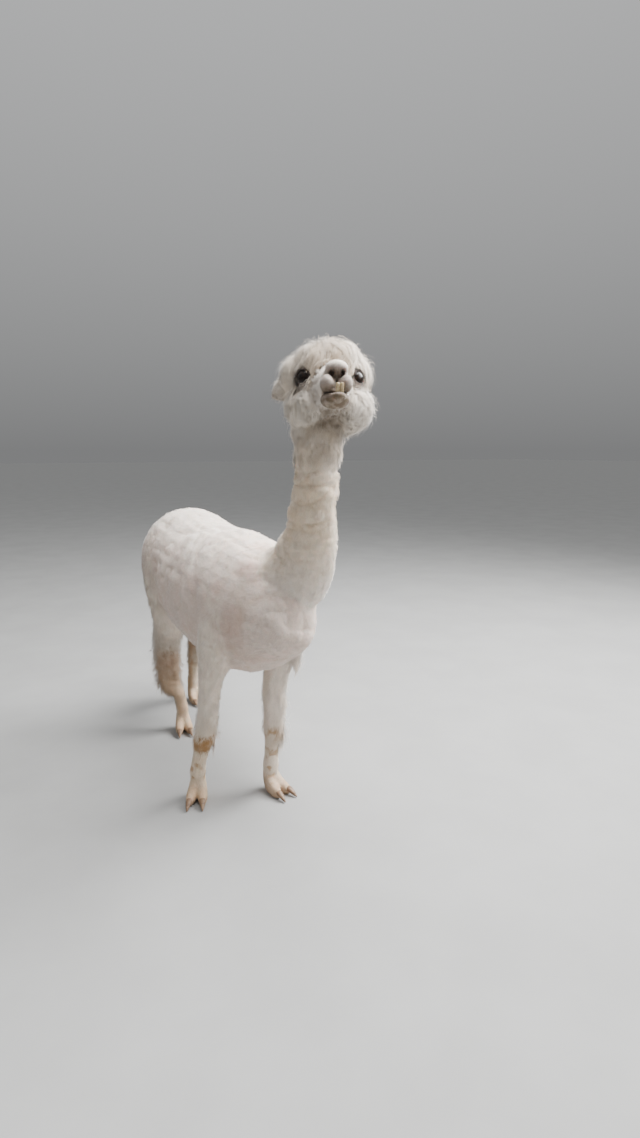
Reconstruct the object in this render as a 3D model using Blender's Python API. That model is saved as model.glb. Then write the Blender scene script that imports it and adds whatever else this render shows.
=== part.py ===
"""A shorn huacaya alpaca, life size, standing with its head raised.

Units are metres, +Z is up and the animal faces -Y, so +X is its left side. The origin is
on the floor, at the middle of the space it fills. Places on the body are written as
(left, forward, up), measured from the point on the floor under the hips, and places on
the head from the middle between its eyes, along the head's own axes. Every surface is
the outside of the coat, out to its tips.

The body, the head and each foot are built from lofts and ellipsoids, fused with a voxel
Remesh and thinned with Decimate. Narrow slots then part them into the named pieces.
"""

import math
from functools import partial

import bmesh
import bpy
import numpy as np
from mathutils import Matrix, Vector

# ---------------------------------------------------------------- driving sizes
GAP = 0.0004  # slot between neighbouring pieces
HIPS = Vector((0.020, 0.444, 0.0))  # floor point under the hips, in the part's frame
BODY_VOXEL = 0.0075
HEAD_VOXEL = 0.0036
FOOT_VOXEL = 0.0030
BODY_TRIANGLES = 2050
HEAD_TRIANGLES = 1400
FOOT_TRIANGLES = 150

EYES_MIDDLE = (0.038, 1.035, 1.294)  # on the body
HEAD_TURN = math.radians(23.0)  # to the animal's right
HEAD_PITCH = math.radians(17.0)  # nose up
EYE_RADIUS = 0.0205
COLLAR_HEIGHT = 1.105  # where the shears stopped and the head's long wool begins
PASTERN_INSET = 0.0025  # as much as smoothing takes off the cannon above
FETLOCK_CUT = 0.110  # height of the slot between a cannon and its foot
SHARP_ANGLE = math.radians(50.0)  # edges bent further than this stay sharp

COLOURS = {  # base colour and roughness
    "wool": ((0.80, 0.76, 0.72), 0.9),
    "neck_wool": ((0.72, 0.63, 0.54), 0.9),
    "head_wool": ((0.80, 0.74, 0.66), 0.9),
    "face": ((0.62, 0.56, 0.52), 0.8),
    "cannon_wool": ((0.66, 0.55, 0.42), 0.9),
    "nail": ((0.16, 0.09, 0.05), 0.5),
    "eye": ((0.012, 0.009, 0.008), 0.08),
    "tooth": ((0.72, 0.60, 0.34), 0.4),
}

# ---------------------------------------------------------------- the body's lofts
# Rows are (left, forward, up, half width, rise, drop): one ring's middle and its reach.
# A ring's rise is upwards on what runs forward, and forwards on what runs down.
TRUNK = (
    (0.0, -0.242, 0.650, 0.020, 0.020, 0.020),
    (0.0, -0.220, 0.670, 0.105, 0.105, 0.120),
    (0.0, -0.165, 0.680, 0.155, 0.165, 0.190),
    (0.0, -0.090, 0.680, 0.182, 0.207, 0.225),
    (0.0, 0.000, 0.675, 0.190, 0.228, 0.215),
    (0.0, 0.120, 0.665, 0.190, 0.224, 0.215),
    (0.0, 0.250, 0.655, 0.192, 0.216, 0.225),
    (0.0, 0.400, 0.645, 0.192, 0.222, 0.232),
    (0.0, 0.540, 0.645, 0.186, 0.224, 0.228),
    (0.0, 0.650, 0.650, 0.174, 0.210, 0.218),
    (0.003, 0.740, 0.655, 0.152, 0.180, 0.185),
    (0.010, 0.820, 0.665, 0.118, 0.140, 0.138),
    (0.018, 0.874, 0.695, 0.070, 0.085, 0.080),
    (0.022, 0.898, 0.705, 0.020, 0.020, 0.020),
)
NECK = (
    (0.042, 0.985, 1.260, 0.050, 0.055, 0.055),
    (0.045, 0.970, 1.180, 0.055, 0.062, 0.062),
    (0.046, 0.957, 1.100, 0.058, 0.066, 0.066),
    (0.049, 0.942, 1.010, 0.061, 0.072, 0.074),
    (0.055, 0.918, 0.930, 0.067, 0.082, 0.086),
    (0.062, 0.880, 0.850, 0.079, 0.098, 0.106),
    (0.055, 0.815, 0.760, 0.095, 0.110, 0.125),
    (0.015, 0.700, 0.680, 0.110, 0.110, 0.130),
)
TAIL = (
    (0.000, -0.165, 0.832, 0.018, 0.018, 0.018),
    (0.003, -0.218, 0.815, 0.030, 0.024, 0.024),
    (0.006, -0.254, 0.765, 0.037, 0.026, 0.026),
    (0.009, -0.268, 0.695, 0.038, 0.025, 0.025),
    (0.010, -0.270, 0.620, 0.032, 0.021, 0.021),
    (0.010, -0.264, 0.560, 0.012, 0.010, 0.010),
)
LEGS = {
    "front_right": (
        (-0.105, 0.680, 0.700, 0.060, 0.080, 0.100),
        (-0.117, 0.640, 0.580, 0.065, 0.085, 0.100),
        (-0.125, 0.600, 0.480, 0.055, 0.070, 0.075),
        (-0.134, 0.585, 0.400, 0.042, 0.050, 0.050),
        (-0.142, 0.580, 0.320, 0.039, 0.045, 0.045),
        (-0.150, 0.577, 0.260, 0.044, 0.048, 0.046),
        (-0.158, 0.569, 0.205, 0.043, 0.044, 0.046),
        (-0.164, 0.562, 0.172, 0.029, 0.030, 0.033),
        (-0.170, 0.551, 0.125, 0.025, 0.026, 0.029),
        (-0.174, 0.544, 0.085, 0.028, 0.029, 0.031),
        (-0.176, 0.546, 0.060, 0.022, 0.022, 0.022),
    ),
    "front_left": (
        (0.100, 0.690, 0.700, 0.060, 0.080, 0.100),
        (0.100, 0.655, 0.580, 0.065, 0.085, 0.100),
        (0.090, 0.630, 0.480, 0.055, 0.070, 0.075),
        (0.075, 0.622, 0.400, 0.048, 0.050, 0.052),
        (0.066, 0.622, 0.320, 0.048, 0.048, 0.048),
        (0.062, 0.624, 0.260, 0.044, 0.048, 0.046),
        (0.060, 0.624, 0.205, 0.038, 0.042, 0.044),
        (0.058, 0.622, 0.172, 0.028, 0.030, 0.033),
        (0.056, 0.620, 0.125, 0.025, 0.026, 0.029),
        (0.054, 0.618, 0.085, 0.028, 0.029, 0.031),
        (0.054, 0.624, 0.060, 0.022, 0.022, 0.022),
    ),
    "hind_right": (
        (-0.095, 0.000, 0.760, 0.075, 0.120, 0.120),
        (-0.112, 0.020, 0.660, 0.082, 0.140, 0.150),
        (-0.120, 0.060, 0.560, 0.074, 0.120, 0.145),
        (-0.114, 0.045, 0.470, 0.064, 0.085, 0.110),
        (-0.110, 0.005, 0.395, 0.060, 0.055, 0.085),
        (-0.108, -0.022, 0.335, 0.060, 0.042, 0.075),
        (-0.104, -0.032, 0.270, 0.060, 0.038, 0.076),
        (-0.102, -0.028, 0.195, 0.057, 0.034, 0.068),
        (-0.076, -0.002, 0.155, 0.030, 0.026, 0.032),
        (-0.068, 0.002, 0.115, 0.025, 0.026, 0.029),
        (-0.063, 0.002, 0.085, 0.027, 0.029, 0.031),
        (-0.063, 0.008, 0.060, 0.022, 0.022, 0.022),
    ),
    "hind_left": (
        (0.095, -0.010, 0.760, 0.075, 0.120, 0.110),
        (0.110, -0.010, 0.660, 0.080, 0.140, 0.130),
        (0.118, -0.030, 0.560, 0.070, 0.115, 0.120),
        (0.110, -0.095, 0.470, 0.058, 0.075, 0.085),
        (0.100, -0.170, 0.400, 0.050, 0.055, 0.060),
        (0.090, -0.225, 0.340, 0.048, 0.045, 0.048),
        (0.083, -0.245, 0.270, 0.043, 0.036, 0.045),
        (0.077, -0.262, 0.200, 0.038, 0.030, 0.042),
        (0.073, -0.272, 0.150, 0.027, 0.026, 0.029),
        (0.072, -0.276, 0.115, 0.025, 0.026, 0.029),
        (0.071, -0.278, 0.085, 0.027, 0.029, 0.031),
        (0.070, -0.272, 0.060, 0.022, 0.022, 0.022),
    ),
}
TOE_OUT = {  # turn of each foot about the vertical, to the animal's left
    "front_right": math.radians(-25),
    "front_left": math.radians(15),
    "hind_right": math.radians(-10),
    "hind_left": math.radians(6),
}
LEG_BOXES = {  # what holds a leg: rear, front, and the lid's height inside and outside
    "front": (0.505, 0.715, 0.400, 0.600),
    "hind": (-0.400, 0.190, 0.400, 0.800),
}
LEG_BOX_WIDTH = 0.260  # from the middle of the body, wider than the trunk
MIDDLE_JOINTS = {"front": 0.232, "hind": 0.312}  # heights where the cannons begin
# Toes run forward from the pastern, as (outwards, forward, up, half width, rise, drop).
TOE = (
    (0.0000, -0.002, 0.100, 0.0180, 0.018, 0.018),
    (0.0010, -0.004, 0.078, 0.0220, 0.024, 0.022),
    (0.0060, 0.002, 0.054, 0.0210, 0.024, 0.032),
    (0.0130, 0.020, 0.036, 0.0190, 0.018, 0.042),
    (0.0180, 0.042, 0.025, 0.0175, 0.015, 0.033),
    (0.0200, 0.060, 0.020, 0.0140, 0.012, 0.027),
    (0.0210, 0.071, 0.017, 0.0080, 0.007, 0.018),
    (0.0215, 0.076, 0.016, 0.0030, 0.003, 0.006),
)
TOENAIL = (
    (0.0200, 0.056, 0.0240, 0.0080, 0.0050, 0.0050),
    (0.0212, 0.070, 0.0215, 0.0100, 0.0070, 0.0110),
    (0.0225, 0.083, 0.0165, 0.0080, 0.0055, 0.0110),
    (0.0238, 0.094, 0.0105, 0.0050, 0.0040, 0.0075),
    (0.0245, 0.103, 0.0052, 0.0015, 0.0012, 0.0025),
)

# ---------------------------------------------------------------- the head's forms
FACE = (
    (0.000, -0.060, -0.020, 0.070, 0.060, 0.075),
    (0.000, -0.020, -0.026, 0.062, 0.060, 0.076),
    (0.001, 0.015, -0.034, 0.053, 0.057, 0.066),
    (0.001, 0.045, -0.043, 0.044, 0.051, 0.055),
    (0.002, 0.075, -0.052, 0.038, 0.045, 0.047),
    (0.002, 0.100, -0.059, 0.034, 0.043, 0.044),
    (0.002, 0.116, -0.064, 0.027, 0.036, 0.038),
    (0.002, 0.126, -0.066, 0.014, 0.022, 0.024),
    (0.002, 0.130, -0.066, 0.004, 0.006, 0.006),
)
THROAT = (
    (0.043, 0.985, 1.275, 0.070, 0.060, 0.080),
    (0.047, 0.972, 1.215, 0.070, 0.070, 0.080),
    (0.050, 0.962, 1.160, 0.065, 0.076, 0.078),
    (0.050, 0.953, 1.105, 0.063, 0.076, 0.074),
    (0.048, 0.948, 1.070, 0.058, 0.068, 0.068),
)
HEAD_BALLS = (  # middle and radii, each (left, forward, up)
    ((0.003, -0.052, 0.033), (0.097, 0.098, 0.076)),  # crown of wool
    ((0.004, -0.014, 0.056), (0.080, 0.050, 0.040)),  # fringe over the brow
    ((0.062, -0.074, 0.036), (0.056, 0.068, 0.050)),  # wool behind the left eye
    ((-0.060, -0.074, 0.034), (0.056, 0.068, 0.050)),  # wool behind the right eye
    ((0.062, -0.055, -0.058), (0.056, 0.060, 0.056)),  # left cheek
    ((-0.054, -0.058, -0.054), (0.052, 0.060, 0.056)),  # right cheek
    ((0.046, -0.088, -0.040), (0.056, 0.054, 0.078)),  # wool behind the left cheek
    ((-0.042, -0.088, -0.040), (0.054, 0.054, 0.078)),  # wool behind the right cheek
    ((0.052, -0.006, -0.066), (0.036, 0.046, 0.044)),  # wool before the left cheek
    ((-0.050, -0.006, -0.066), (0.036, 0.046, 0.044)),  # wool before the right cheek
    ((0.0231, 0.128, -0.0690), (0.0172, 0.026, 0.0212)),  # left lobe of the upper lip
    ((-0.0201, 0.128, -0.0690), (0.0172, 0.026, 0.0212)),  # right lobe of the upper lip
    ((0.0038, 0.124, -0.0335), (0.0285, 0.028, 0.0210)),  # nose
    ((0.0005, 0.107, -0.0980), (0.0360, 0.031, 0.0215)),  # chin
    ((0.0040, 0.136, -0.1015), (0.0200, 0.018, 0.0110)),  # lower lip
)
LID_RADII = (0.0265, 0.0262, 0.0255)
LID_DEPTH = 0.0075  # how far the lids' middle lies behind the eye's
EYE_MIDDLES = {1: Vector((0.0645, 0, -0.0040)), -1: Vector((-0.0560, 0, -0.0025))}  # left, right
EYE_FACING = Vector((0.68, 0.73, 0.02))  # of the left eye
EAR = (  # along the ear: half width, bulge of the back, hollow of the front
    (0.000, 0.012, 0.008, 0.006),
    (0.020, 0.021, 0.014, -0.006),
    (0.045, 0.028, 0.017, -0.010),
    (0.070, 0.026, 0.015, -0.009),
    (0.095, 0.016, 0.009, -0.005),
    (0.112, 0.004, 0.003, -0.001),
)
EAR_ENDS = {  # root and tip on the head
    "right": ((-0.062, -0.086, 0.028), (-0.130, -0.118, 0.002)),
    "left": ((0.062, -0.086, 0.028), (0.112, -0.154, -0.004)),
}
EAR_DROOP = 0.006
EAR_OPENS = Vector((0, 0.9, -0.3))
INCISOR = (  # from the gum upwards, as (outwards, forward, up, half width, front, back)
    (0.0, 0.122, -0.106, 0.0042, 0.0030, 0.0030),
    (0.0, 0.138, -0.097, 0.0047, 0.0032, 0.0032),
    (0.0, 0.149, -0.085, 0.0050, 0.0028, 0.0028),
    (0.0, 0.154, -0.075, 0.0045, 0.0018, 0.0018),
)
INCISORS = (0.0111, 0.0019)  # how far to the left each one stands


def place(left, forward, up):
    """A place on the body as a vector in the part's frame."""
    return Vector((left, -forward, up)) + HIPS


def head_frame():
    """Matrix from the head's own (left, forward, up) axes, centred between the eyes."""
    turn = Matrix.Rotation(-HEAD_TURN, 4, "Z")
    pitch = Matrix.Rotation(-HEAD_PITCH, 4, "X")
    face_front = Matrix(((1, 0, 0, 0), (0, -1, 0, 0), (0, 0, 1, 0), (0, 0, 0, 1)))
    return Matrix.Translation(place(*EYES_MIDDLE)) @ turn @ pitch @ face_front


HEAD = head_frame()
def cut_plane(middle, tilt):
    """Matrix of a plane across the body, tilted about the left-right axis."""
    return Matrix.Translation(middle) @ Matrix.Rotation(math.radians(tilt), 4, "X")


# What each of these planes parts off lies above it, in the plane's own axes.
NECK_ROOT = cut_plane(place(0, 0.775, 0.905), 47)
NECK_MIDDLE = cut_plane(place(0, 0.935, 0.990), 8)
MUZZLE_ROOT = HEAD @ cut_plane((0, 0.078, 0), -90)
MOUTH = HEAD @ cut_plane((0, 0.140, -0.0905), 171)


def on_head(left, forward, up):
    """A place given in the head's own axes as a vector in the part's frame."""
    return HEAD @ Vector((left, forward, up))


# ---------------------------------------------------------------- scene and materials
def clear_scene():
    for obj in list(bpy.data.objects):
        bpy.data.objects.remove(obj)


def material(name, colour, roughness):
    made = bpy.data.materials.new(name)
    made.use_nodes = True
    shader = made.node_tree.nodes["Principled BSDF"]
    shader.inputs["Base Color"].default_value = (*colour, 1.0)
    shader.inputs["Roughness"].default_value = roughness
    shader.inputs["Metallic"].default_value = 0.0
    return made


# ---------------------------------------------------------------- shapes
def smooth_rows(rows, steps):
    """Catmull-Rom through the rows of a loft, at evenly spaced points of each stretch."""
    rows = np.array(rows, float)
    ends = np.vstack([2 * rows[0] - rows[1], rows, 2 * rows[-1] - rows[-2]])
    made = []
    for a, b, c, d in zip(ends, ends[1:], ends[2:], ends[3:]):
        for t in np.arange(steps) / steps:
            bend = (2 * a - 5 * b + 4 * c - d) * t**2 + (3 * b - a - 3 * c + d) * t**3
            made.append(b + 0.5 * ((c - a) * t + bend))
    made.append(rows[-1])
    return np.array(made)


def add_loft(shape, points, sizes, side, grow=0.0, around=28, square=2.0):
    """Adds one closed loft to a bmesh, grown all round when it is to cut its own pocket.

    points are the middles of its rings, and sizes holds (half width, rise, drop) for each.
    The rise points along tangent x side: up on what runs forward, forward on what runs down.
    """
    rings = []
    last = len(points) - 1
    for i, (middle, (width, rise, drop)) in enumerate(zip(points, sizes)):
        tangent = (points[min(i + 1, last)] - points[max(i - 1, 0)]).normalized()
        across = (side - tangent * side.dot(tangent)).normalized()
        over = tangent.cross(across)
        middle = middle + tangent * (grow * ((i == last) - (i == 0)))
        ring = []
        for k in range(around):
            c, s = math.cos(math.tau * k / around), math.sin(math.tau * k / around)
            x = (width + grow) * math.copysign(abs(c) ** (2 / square), c)
            y = ((rise if s > 0 else drop) + grow) * math.copysign(abs(s) ** (2 / square), s)
            ring.append(shape.verts.new(middle + across * x + over * y))
        rings.append(ring)
    for lower, upper in zip(rings, rings[1:]):
        for k in range(around):
            n = (k + 1) % around
            shape.faces.new((lower[k], lower[n], upper[n], upper[k]))
    shape.faces.new(list(reversed(rings[0])))
    shape.faces.new(rings[-1])


def body_loft(shape, rows, steps=5, **how):
    """A loft through rows of (left, forward, up, half width, rise, drop) on the body."""
    fine = smooth_rows(rows, steps)
    points = [place(*row[:3]) for row in fine]
    add_loft(shape, points, [row[3:] for row in fine], Vector((1, 0, 0)), **how)


def head_loft(shape, rows, steps=4, **how):
    """The same, with places given in the head's own axes."""
    fine = smooth_rows(rows, steps)
    points = [on_head(*row[:3]) for row in fine]
    add_loft(shape, points, [row[3:] for row in fine], HEAD.to_3x3() @ Vector((1, 0, 0)), **how)


def head_ball(shape, middle, radii, around=28):
    """An ellipsoid of those radii, lined up with the head's axes."""
    matrix = HEAD @ Matrix.Translation(middle) @ Matrix.Diagonal((*radii, 1.0))
    rings = around * 2 // 3
    bmesh.ops.create_uvsphere(
        shape, u_segments=around, v_segments=rings, radius=1.0, matrix=matrix
    )


def linked(name, mesh):
    """A new object in the scene."""
    made = bpy.data.objects.new(name, mesh)
    bpy.context.scene.collection.objects.link(made)
    return made


def solid(name, shape):
    """An object of triangles, so that a piece and the cutter of its pocket bend alike."""
    bmesh.ops.triangulate(shape, faces=shape.faces, quad_method="FIXED")
    bmesh.ops.recalc_face_normals(shape, faces=shape.faces)
    mesh = bpy.data.meshes.new(name)
    shape.to_mesh(mesh)
    shape.free()
    return linked(name, mesh)


def evaluated(obj):
    """Replaces an object's mesh with what its modifiers make of it."""
    graph = bpy.context.evaluated_depsgraph_get()
    mesh = bpy.data.meshes.new_from_object(obj.evaluated_get(graph))
    obj.modifiers.clear()
    obj.data = mesh
    return obj


def fuse(obj, voxel, smoothing, triangles):
    """Melts overlapping closed shapes into one skin of about that many triangles."""
    remesh = obj.modifiers.new("melt", "REMESH")
    remesh.mode = "VOXEL"
    remesh.voxel_size = voxel
    relax = obj.modifiers.new("relax", "SMOOTH")
    relax.factor = 0.5
    relax.iterations = smoothing
    evaluated(obj)
    thin = obj.modifiers.new("thin", "DECIMATE")
    thin.ratio = triangles / (2 * len(obj.data.polygons))
    thin.use_collapse_triangulate = True
    return evaluated(obj)


def cut(obj, cutter, operation="DIFFERENCE"):
    """Applies a Boolean, and removes its cutter."""
    boolean = obj.modifiers.new("cut", "BOOLEAN")
    boolean.object = cutter
    boolean.operation = operation
    boolean.solver = "EXACT"
    evaluated(obj)
    bpy.data.objects.remove(cutter)
    return obj


# ---------------------------------------------------------------- parting
UPSIDE_DOWN = Matrix.Rotation(math.pi, 4, "X")
WHOLE_SPACE = 4.0  # a cube of this size holds the animal wherever it is placed


def floor_at(height):
    """Matrix of a level floor at that height."""
    return Matrix.Translation((0, 0, height))


def half_space(matrix, grow=0.0):
    """A cutter that holds all that lies above matrix's own floor."""
    shape = bmesh.new()
    middle = Matrix.Translation((0, 0, WHOLE_SPACE / 2 - grow))
    bmesh.ops.create_cube(shape, size=WHOLE_SPACE, matrix=matrix @ middle)
    return solid("cutter", shape)


def leg_box(leg, grow):
    """A cutter for one leg, out from the middle of the body, under a lid that rises outwards."""
    rear, front, lid_inside, lid_outside = LEG_BOXES[leg.split("_")[0]]
    side = 1 if leg.endswith("left") else -1
    inside = GAP - grow / 2
    shape = bmesh.new()
    ends = []
    for forward in (rear - grow, front + grow):
        outline = (
            (inside, 0.0),
            (LEG_BOX_WIDTH, 0.0),
            (LEG_BOX_WIDTH, lid_outside + grow),
            (inside, lid_inside + grow),
        )
        ends.append([shape.verts.new(place(side * left, forward, up)) for left, up in outline])
    back, fore = ends
    shape.faces.new(back)
    shape.faces.new(reversed(fore))
    for k in range(4):
        shape.faces.new((back[k], fore[k], fore[k - 1], back[k - 1]))
    return solid("cutter", shape)


def split(obj, name, cutter):
    """Parts off what lies in a cutter as a new piece. cutter(grow) makes it, grown or not."""
    piece = linked(name, obj.data.copy())
    cut(piece, cutter(0.0), "INTERSECT")
    cut(obj, cutter(GAP))
    return piece


def inset(host, name, make):
    """Cuts a pocket a slot wider than a piece, then makes it. make(name, grow) models it."""
    cut(host, make("cutter", GAP))
    return make(name, 0.0)


def finish(obj, colour):
    """Names the mesh, gives it its material and shades it smooth."""
    obj.data.name = obj.name
    obj.data.materials.clear()
    obj.data.materials.append(material(colour, *COLOURS[colour]))
    obj.data.shade_smooth()
    obj.data.set_sharp_from_angle(angle=SHARP_ANGLE)


# ---------------------------------------------------------------- the pieces
def body_piece():
    """Trunk, neck and legs in one, from the collar down to above the fetlocks."""
    shape = bmesh.new()
    body_loft(shape, TRUNK, square=2.15)
    body_loft(shape, NECK)
    for rows in LEGS.values():
        body_loft(shape, rows)
    body = solid("trunk", shape)
    fuse(body, BODY_VOXEL, 6, BODY_TRIANGLES)
    cut(body, half_space(floor_at(COLLAR_HEIGHT - GAP)))
    return cut(body, half_space(floor_at(FETLOCK_CUT) @ UPSIDE_DOWN))


def leg_pieces(trunk, leg):
    """Parts a leg from the trunk, and its cannon from the leg."""
    whole = split(trunk, f"leg_{leg}", lambda grow: leg_box(leg, grow))
    middle_joint = floor_at(MIDDLE_JOINTS[leg.split("_")[0]]) @ UPSIDE_DOWN
    cannon = split(whole, f"cannon_{leg}", lambda grow: half_space(middle_joint, grow))
    finish(whole, "wool")
    finish(cannon, "cannon_wool")


def neck_pieces(trunk):
    """Parts the neck from the trunk, and halves it."""
    lower = split(trunk, "neck_lower", lambda grow: half_space(NECK_ROOT, grow))
    upper = split(lower, "neck_upper", lambda grow: half_space(NECK_MIDDLE, grow))
    finish(lower, "neck_wool")
    finish(upper, "neck_wool")


def tail_shape(name, grow):
    shape = bmesh.new()
    body_loft(shape, TAIL, steps=2, around=12, grow=grow)
    return solid(name, shape)


def foot_loft(shape, leg, side, rows, steps, **how):
    """A loft of one toe, the outer (1) or the inner (-1), from where its fetlock stands."""
    left, forward = LEGS[leg][-2][:2]
    frame = Matrix.Translation(place(left, forward, 0.0)) @ Matrix.Rotation(TOE_OUT[leg], 4, "Z")
    fine = smooth_rows(rows, steps)
    points = [frame @ Vector((side * row[0], -row[1], row[2])) for row in fine]
    add_loft(shape, points, [row[3:] for row in fine], frame.to_3x3() @ Vector((1, 0, 0)), **how)


def foot_pieces(leg):
    """A two-toed foot with a flat sole, and its two toenails."""
    shape = bmesh.new()
    body_loft(shape, LEGS[leg][-4:], around=20, grow=-PASTERN_INSET)
    for side in (1, -1):
        foot_loft(shape, leg, side, TOE, 4, around=20)
    foot = solid(f"foot_{leg}", shape)
    fuse(foot, FOOT_VOXEL, 2, FOOT_TRIANGLES)
    cut(foot, half_space(floor_at(FETLOCK_CUT - GAP)))
    cut(foot, half_space(UPSIDE_DOWN))

    def toenail_shape(side, name, grow):
        shape = bmesh.new()
        foot_loft(shape, leg, side, TOENAIL, 1, around=8, grow=grow)
        return solid(name, shape)

    for side, letter in ((1, "a"), (-1, "b")):
        nail = inset(foot, f"toenail_{leg}_{letter}", partial(toenail_shape, side))
        finish(nail, "nail")
    finish(foot, "cannon_wool")


def head_piece():
    """The wool-covered head down to the collar, with its face."""
    shape = bmesh.new()
    head_loft(shape, FACE, square=2.2)
    body_loft(shape, THROAT)
    for middle, radii in HEAD_BALLS:
        head_ball(shape, middle, radii)
    for side in (1, -1):
        facing = EYE_FACING * Vector((side, 1, 1))
        head_ball(shape, EYE_MIDDLES[side] - LID_DEPTH * facing, LID_RADII)
    head = solid("head", shape)
    fuse(head, HEAD_VOXEL, 3, HEAD_TRIANGLES)
    return cut(head, half_space(floor_at(COLLAR_HEIGHT) @ UPSIDE_DOWN))


def eye_shape(side, name, grow):
    shape = bmesh.new()
    head_ball(shape, EYE_MIDDLES[side], [EYE_RADIUS + grow] * 3, around=14)
    return solid(name, shape)


def ear_shape(side_name, name, grow):
    """A cupped leaf that droops towards its tip. Its pocket has no hollow."""
    shape = bmesh.new()
    root, tip = (on_head(*end) for end in EAR_ENDS[side_name])
    points = []
    sizes = []
    for along, width, bulge, front in EAR:
        along /= EAR[-1][0]
        points.append(root.lerp(tip, along) - Vector((0, 0, EAR_DROOP * along**2)))
        sizes.append((width, bulge, max(0.0, front) if grow else front))
    across = (tip - root).cross(HEAD.to_3x3() @ EAR_OPENS).normalized()
    add_loft(shape, points, sizes, across, grow=grow, around=10)
    return solid(name, shape)


def incisor_shape(left, name, grow=0.0):
    shape = bmesh.new()
    rows = [(row[0] + left, *row[1:]) for row in INCISOR]
    head_loft(shape, rows, steps=1, around=10, grow=grow)
    return solid(name, shape)


def teeth_piece(snout_pieces):
    """The lower incisors that show between the lobes of the upper lip, joined in one."""
    for piece in snout_pieces:
        for left in INCISORS:
            cut(piece, incisor_shape(left, "cutter", GAP))
    first, second = INCISORS
    teeth = incisor_shape(first, "teeth")
    cut(teeth, incisor_shape(second, "cutter"), "UNION")
    finish(teeth, "tooth")


def main():
    clear_scene()
    trunk = body_piece()
    finish(inset(trunk, "tail", tail_shape), "wool")
    for leg in LEGS:
        leg_pieces(trunk, leg)
        foot_pieces(leg)
    neck_pieces(trunk)
    finish(trunk, "wool")

    head = head_piece()
    for side, side_name in ((1, "left"), (-1, "right")):
        finish(inset(head, f"eye_{side_name}", partial(eye_shape, side)), "eye")
        finish(inset(head, f"ear_{side_name}", partial(ear_shape, side_name)), "head_wool")
    muzzle = split(head, "muzzle", lambda grow: half_space(MUZZLE_ROOT, grow))
    jaw = split(muzzle, "lower_jaw", lambda grow: half_space(MOUTH, grow))
    teeth_piece((muzzle, jaw))
    finish(head, "head_wool")
    finish(muzzle, "face")
    finish(jaw, "face")


main()
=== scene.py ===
"""A freshly shorn alpaca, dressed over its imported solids.

One skin runs under the whole coat, drawn in from the solids by the coat's depth. Locks of
wool stand over it as solid mesh and follow the lie of the coat. Eyes, lashes, toenails and
teeth are pieces of their own. Places on the body are (left, forward, up) from the floor
point under the hips, and places on the head are in the head's own axes, from the middle
between its eyes.
"""

import math

import bmesh
import bpy
import numpy as np
from mathutils import Matrix, Vector
from mathutils.kdtree import KDTree


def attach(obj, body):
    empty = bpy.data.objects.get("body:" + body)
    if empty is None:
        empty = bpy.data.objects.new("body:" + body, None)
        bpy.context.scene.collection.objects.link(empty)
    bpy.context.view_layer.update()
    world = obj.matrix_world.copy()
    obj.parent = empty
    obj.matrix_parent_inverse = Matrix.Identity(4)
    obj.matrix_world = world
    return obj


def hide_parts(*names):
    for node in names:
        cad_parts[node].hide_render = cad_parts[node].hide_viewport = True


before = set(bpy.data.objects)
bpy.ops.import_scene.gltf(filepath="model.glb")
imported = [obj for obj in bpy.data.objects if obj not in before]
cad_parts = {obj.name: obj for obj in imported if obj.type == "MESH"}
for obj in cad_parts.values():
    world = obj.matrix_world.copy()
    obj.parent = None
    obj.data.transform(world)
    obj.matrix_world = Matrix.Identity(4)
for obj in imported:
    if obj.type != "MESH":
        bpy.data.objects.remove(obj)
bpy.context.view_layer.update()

# ---------------------------------------------------------------- named sizes
HIPS = np.array((0.020, 0.444, 0.0))
EYES_MIDDLE = (0.038, 1.035, 1.294)
HEAD_TURN = math.radians(23.0)
HEAD_PITCH = math.radians(17.0)
EYE_RADIUS = 0.0205
EYE_MIDDLES = {1: (0.0645, 0.0, -0.0040), -1: (-0.0560, 0.0, -0.0025)}  # left, right, on the head
EYE_FACING = (0.68, 0.73, 0.02)  # of the left eye, on the head
EYE_OPENING = (0.0162, 0.0142, 0.0130)  # from the middle to the corners, up and down
NOSE_LEFT = 0.0036  # how far the nose and mouth stand to the left of the head's middle
NOSTRIL_SPREAD = 0.0132
COLLAR_HEIGHT = 1.105  # where the head's long wool ends

SKIN_VOXEL = 0.0040
BODY_DEPTH = 0.005  # depth of the clipped fleece
NECK_DEPTH = 0.005
THROAT_DEPTH = 0.009
WOOL_DEPTH = 0.011  # depth of the long wool on the head
FACE_DEPTH = 0.0015
TAIL_DEPTH = 0.009
EAR_RISE = 0.006  # how far hair stands over the ears, whose forms are bare
LOCK_FLATNESS = 0.5  # a lock's height as a share of its width
SOFT_SHADING = 0.88  # how far locks are shaded like the skin under them
MAP_PATCH = 0.003  # side of a lock's patch on the OFBake map
LEGS_PART = 0.35  # front legs stand ahead of this, hind legs behind it

CAMERA_PLACE = (-0.763, 2.467, 1.12)
CAMERA_FORWARD = (0.477, 0.879)  # over the floor
CAMERA_PITCH = math.radians(10.37)  # looking down
CAMERA_LENS = 20.56
CAMERA_SENSOR = 36.0

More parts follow.
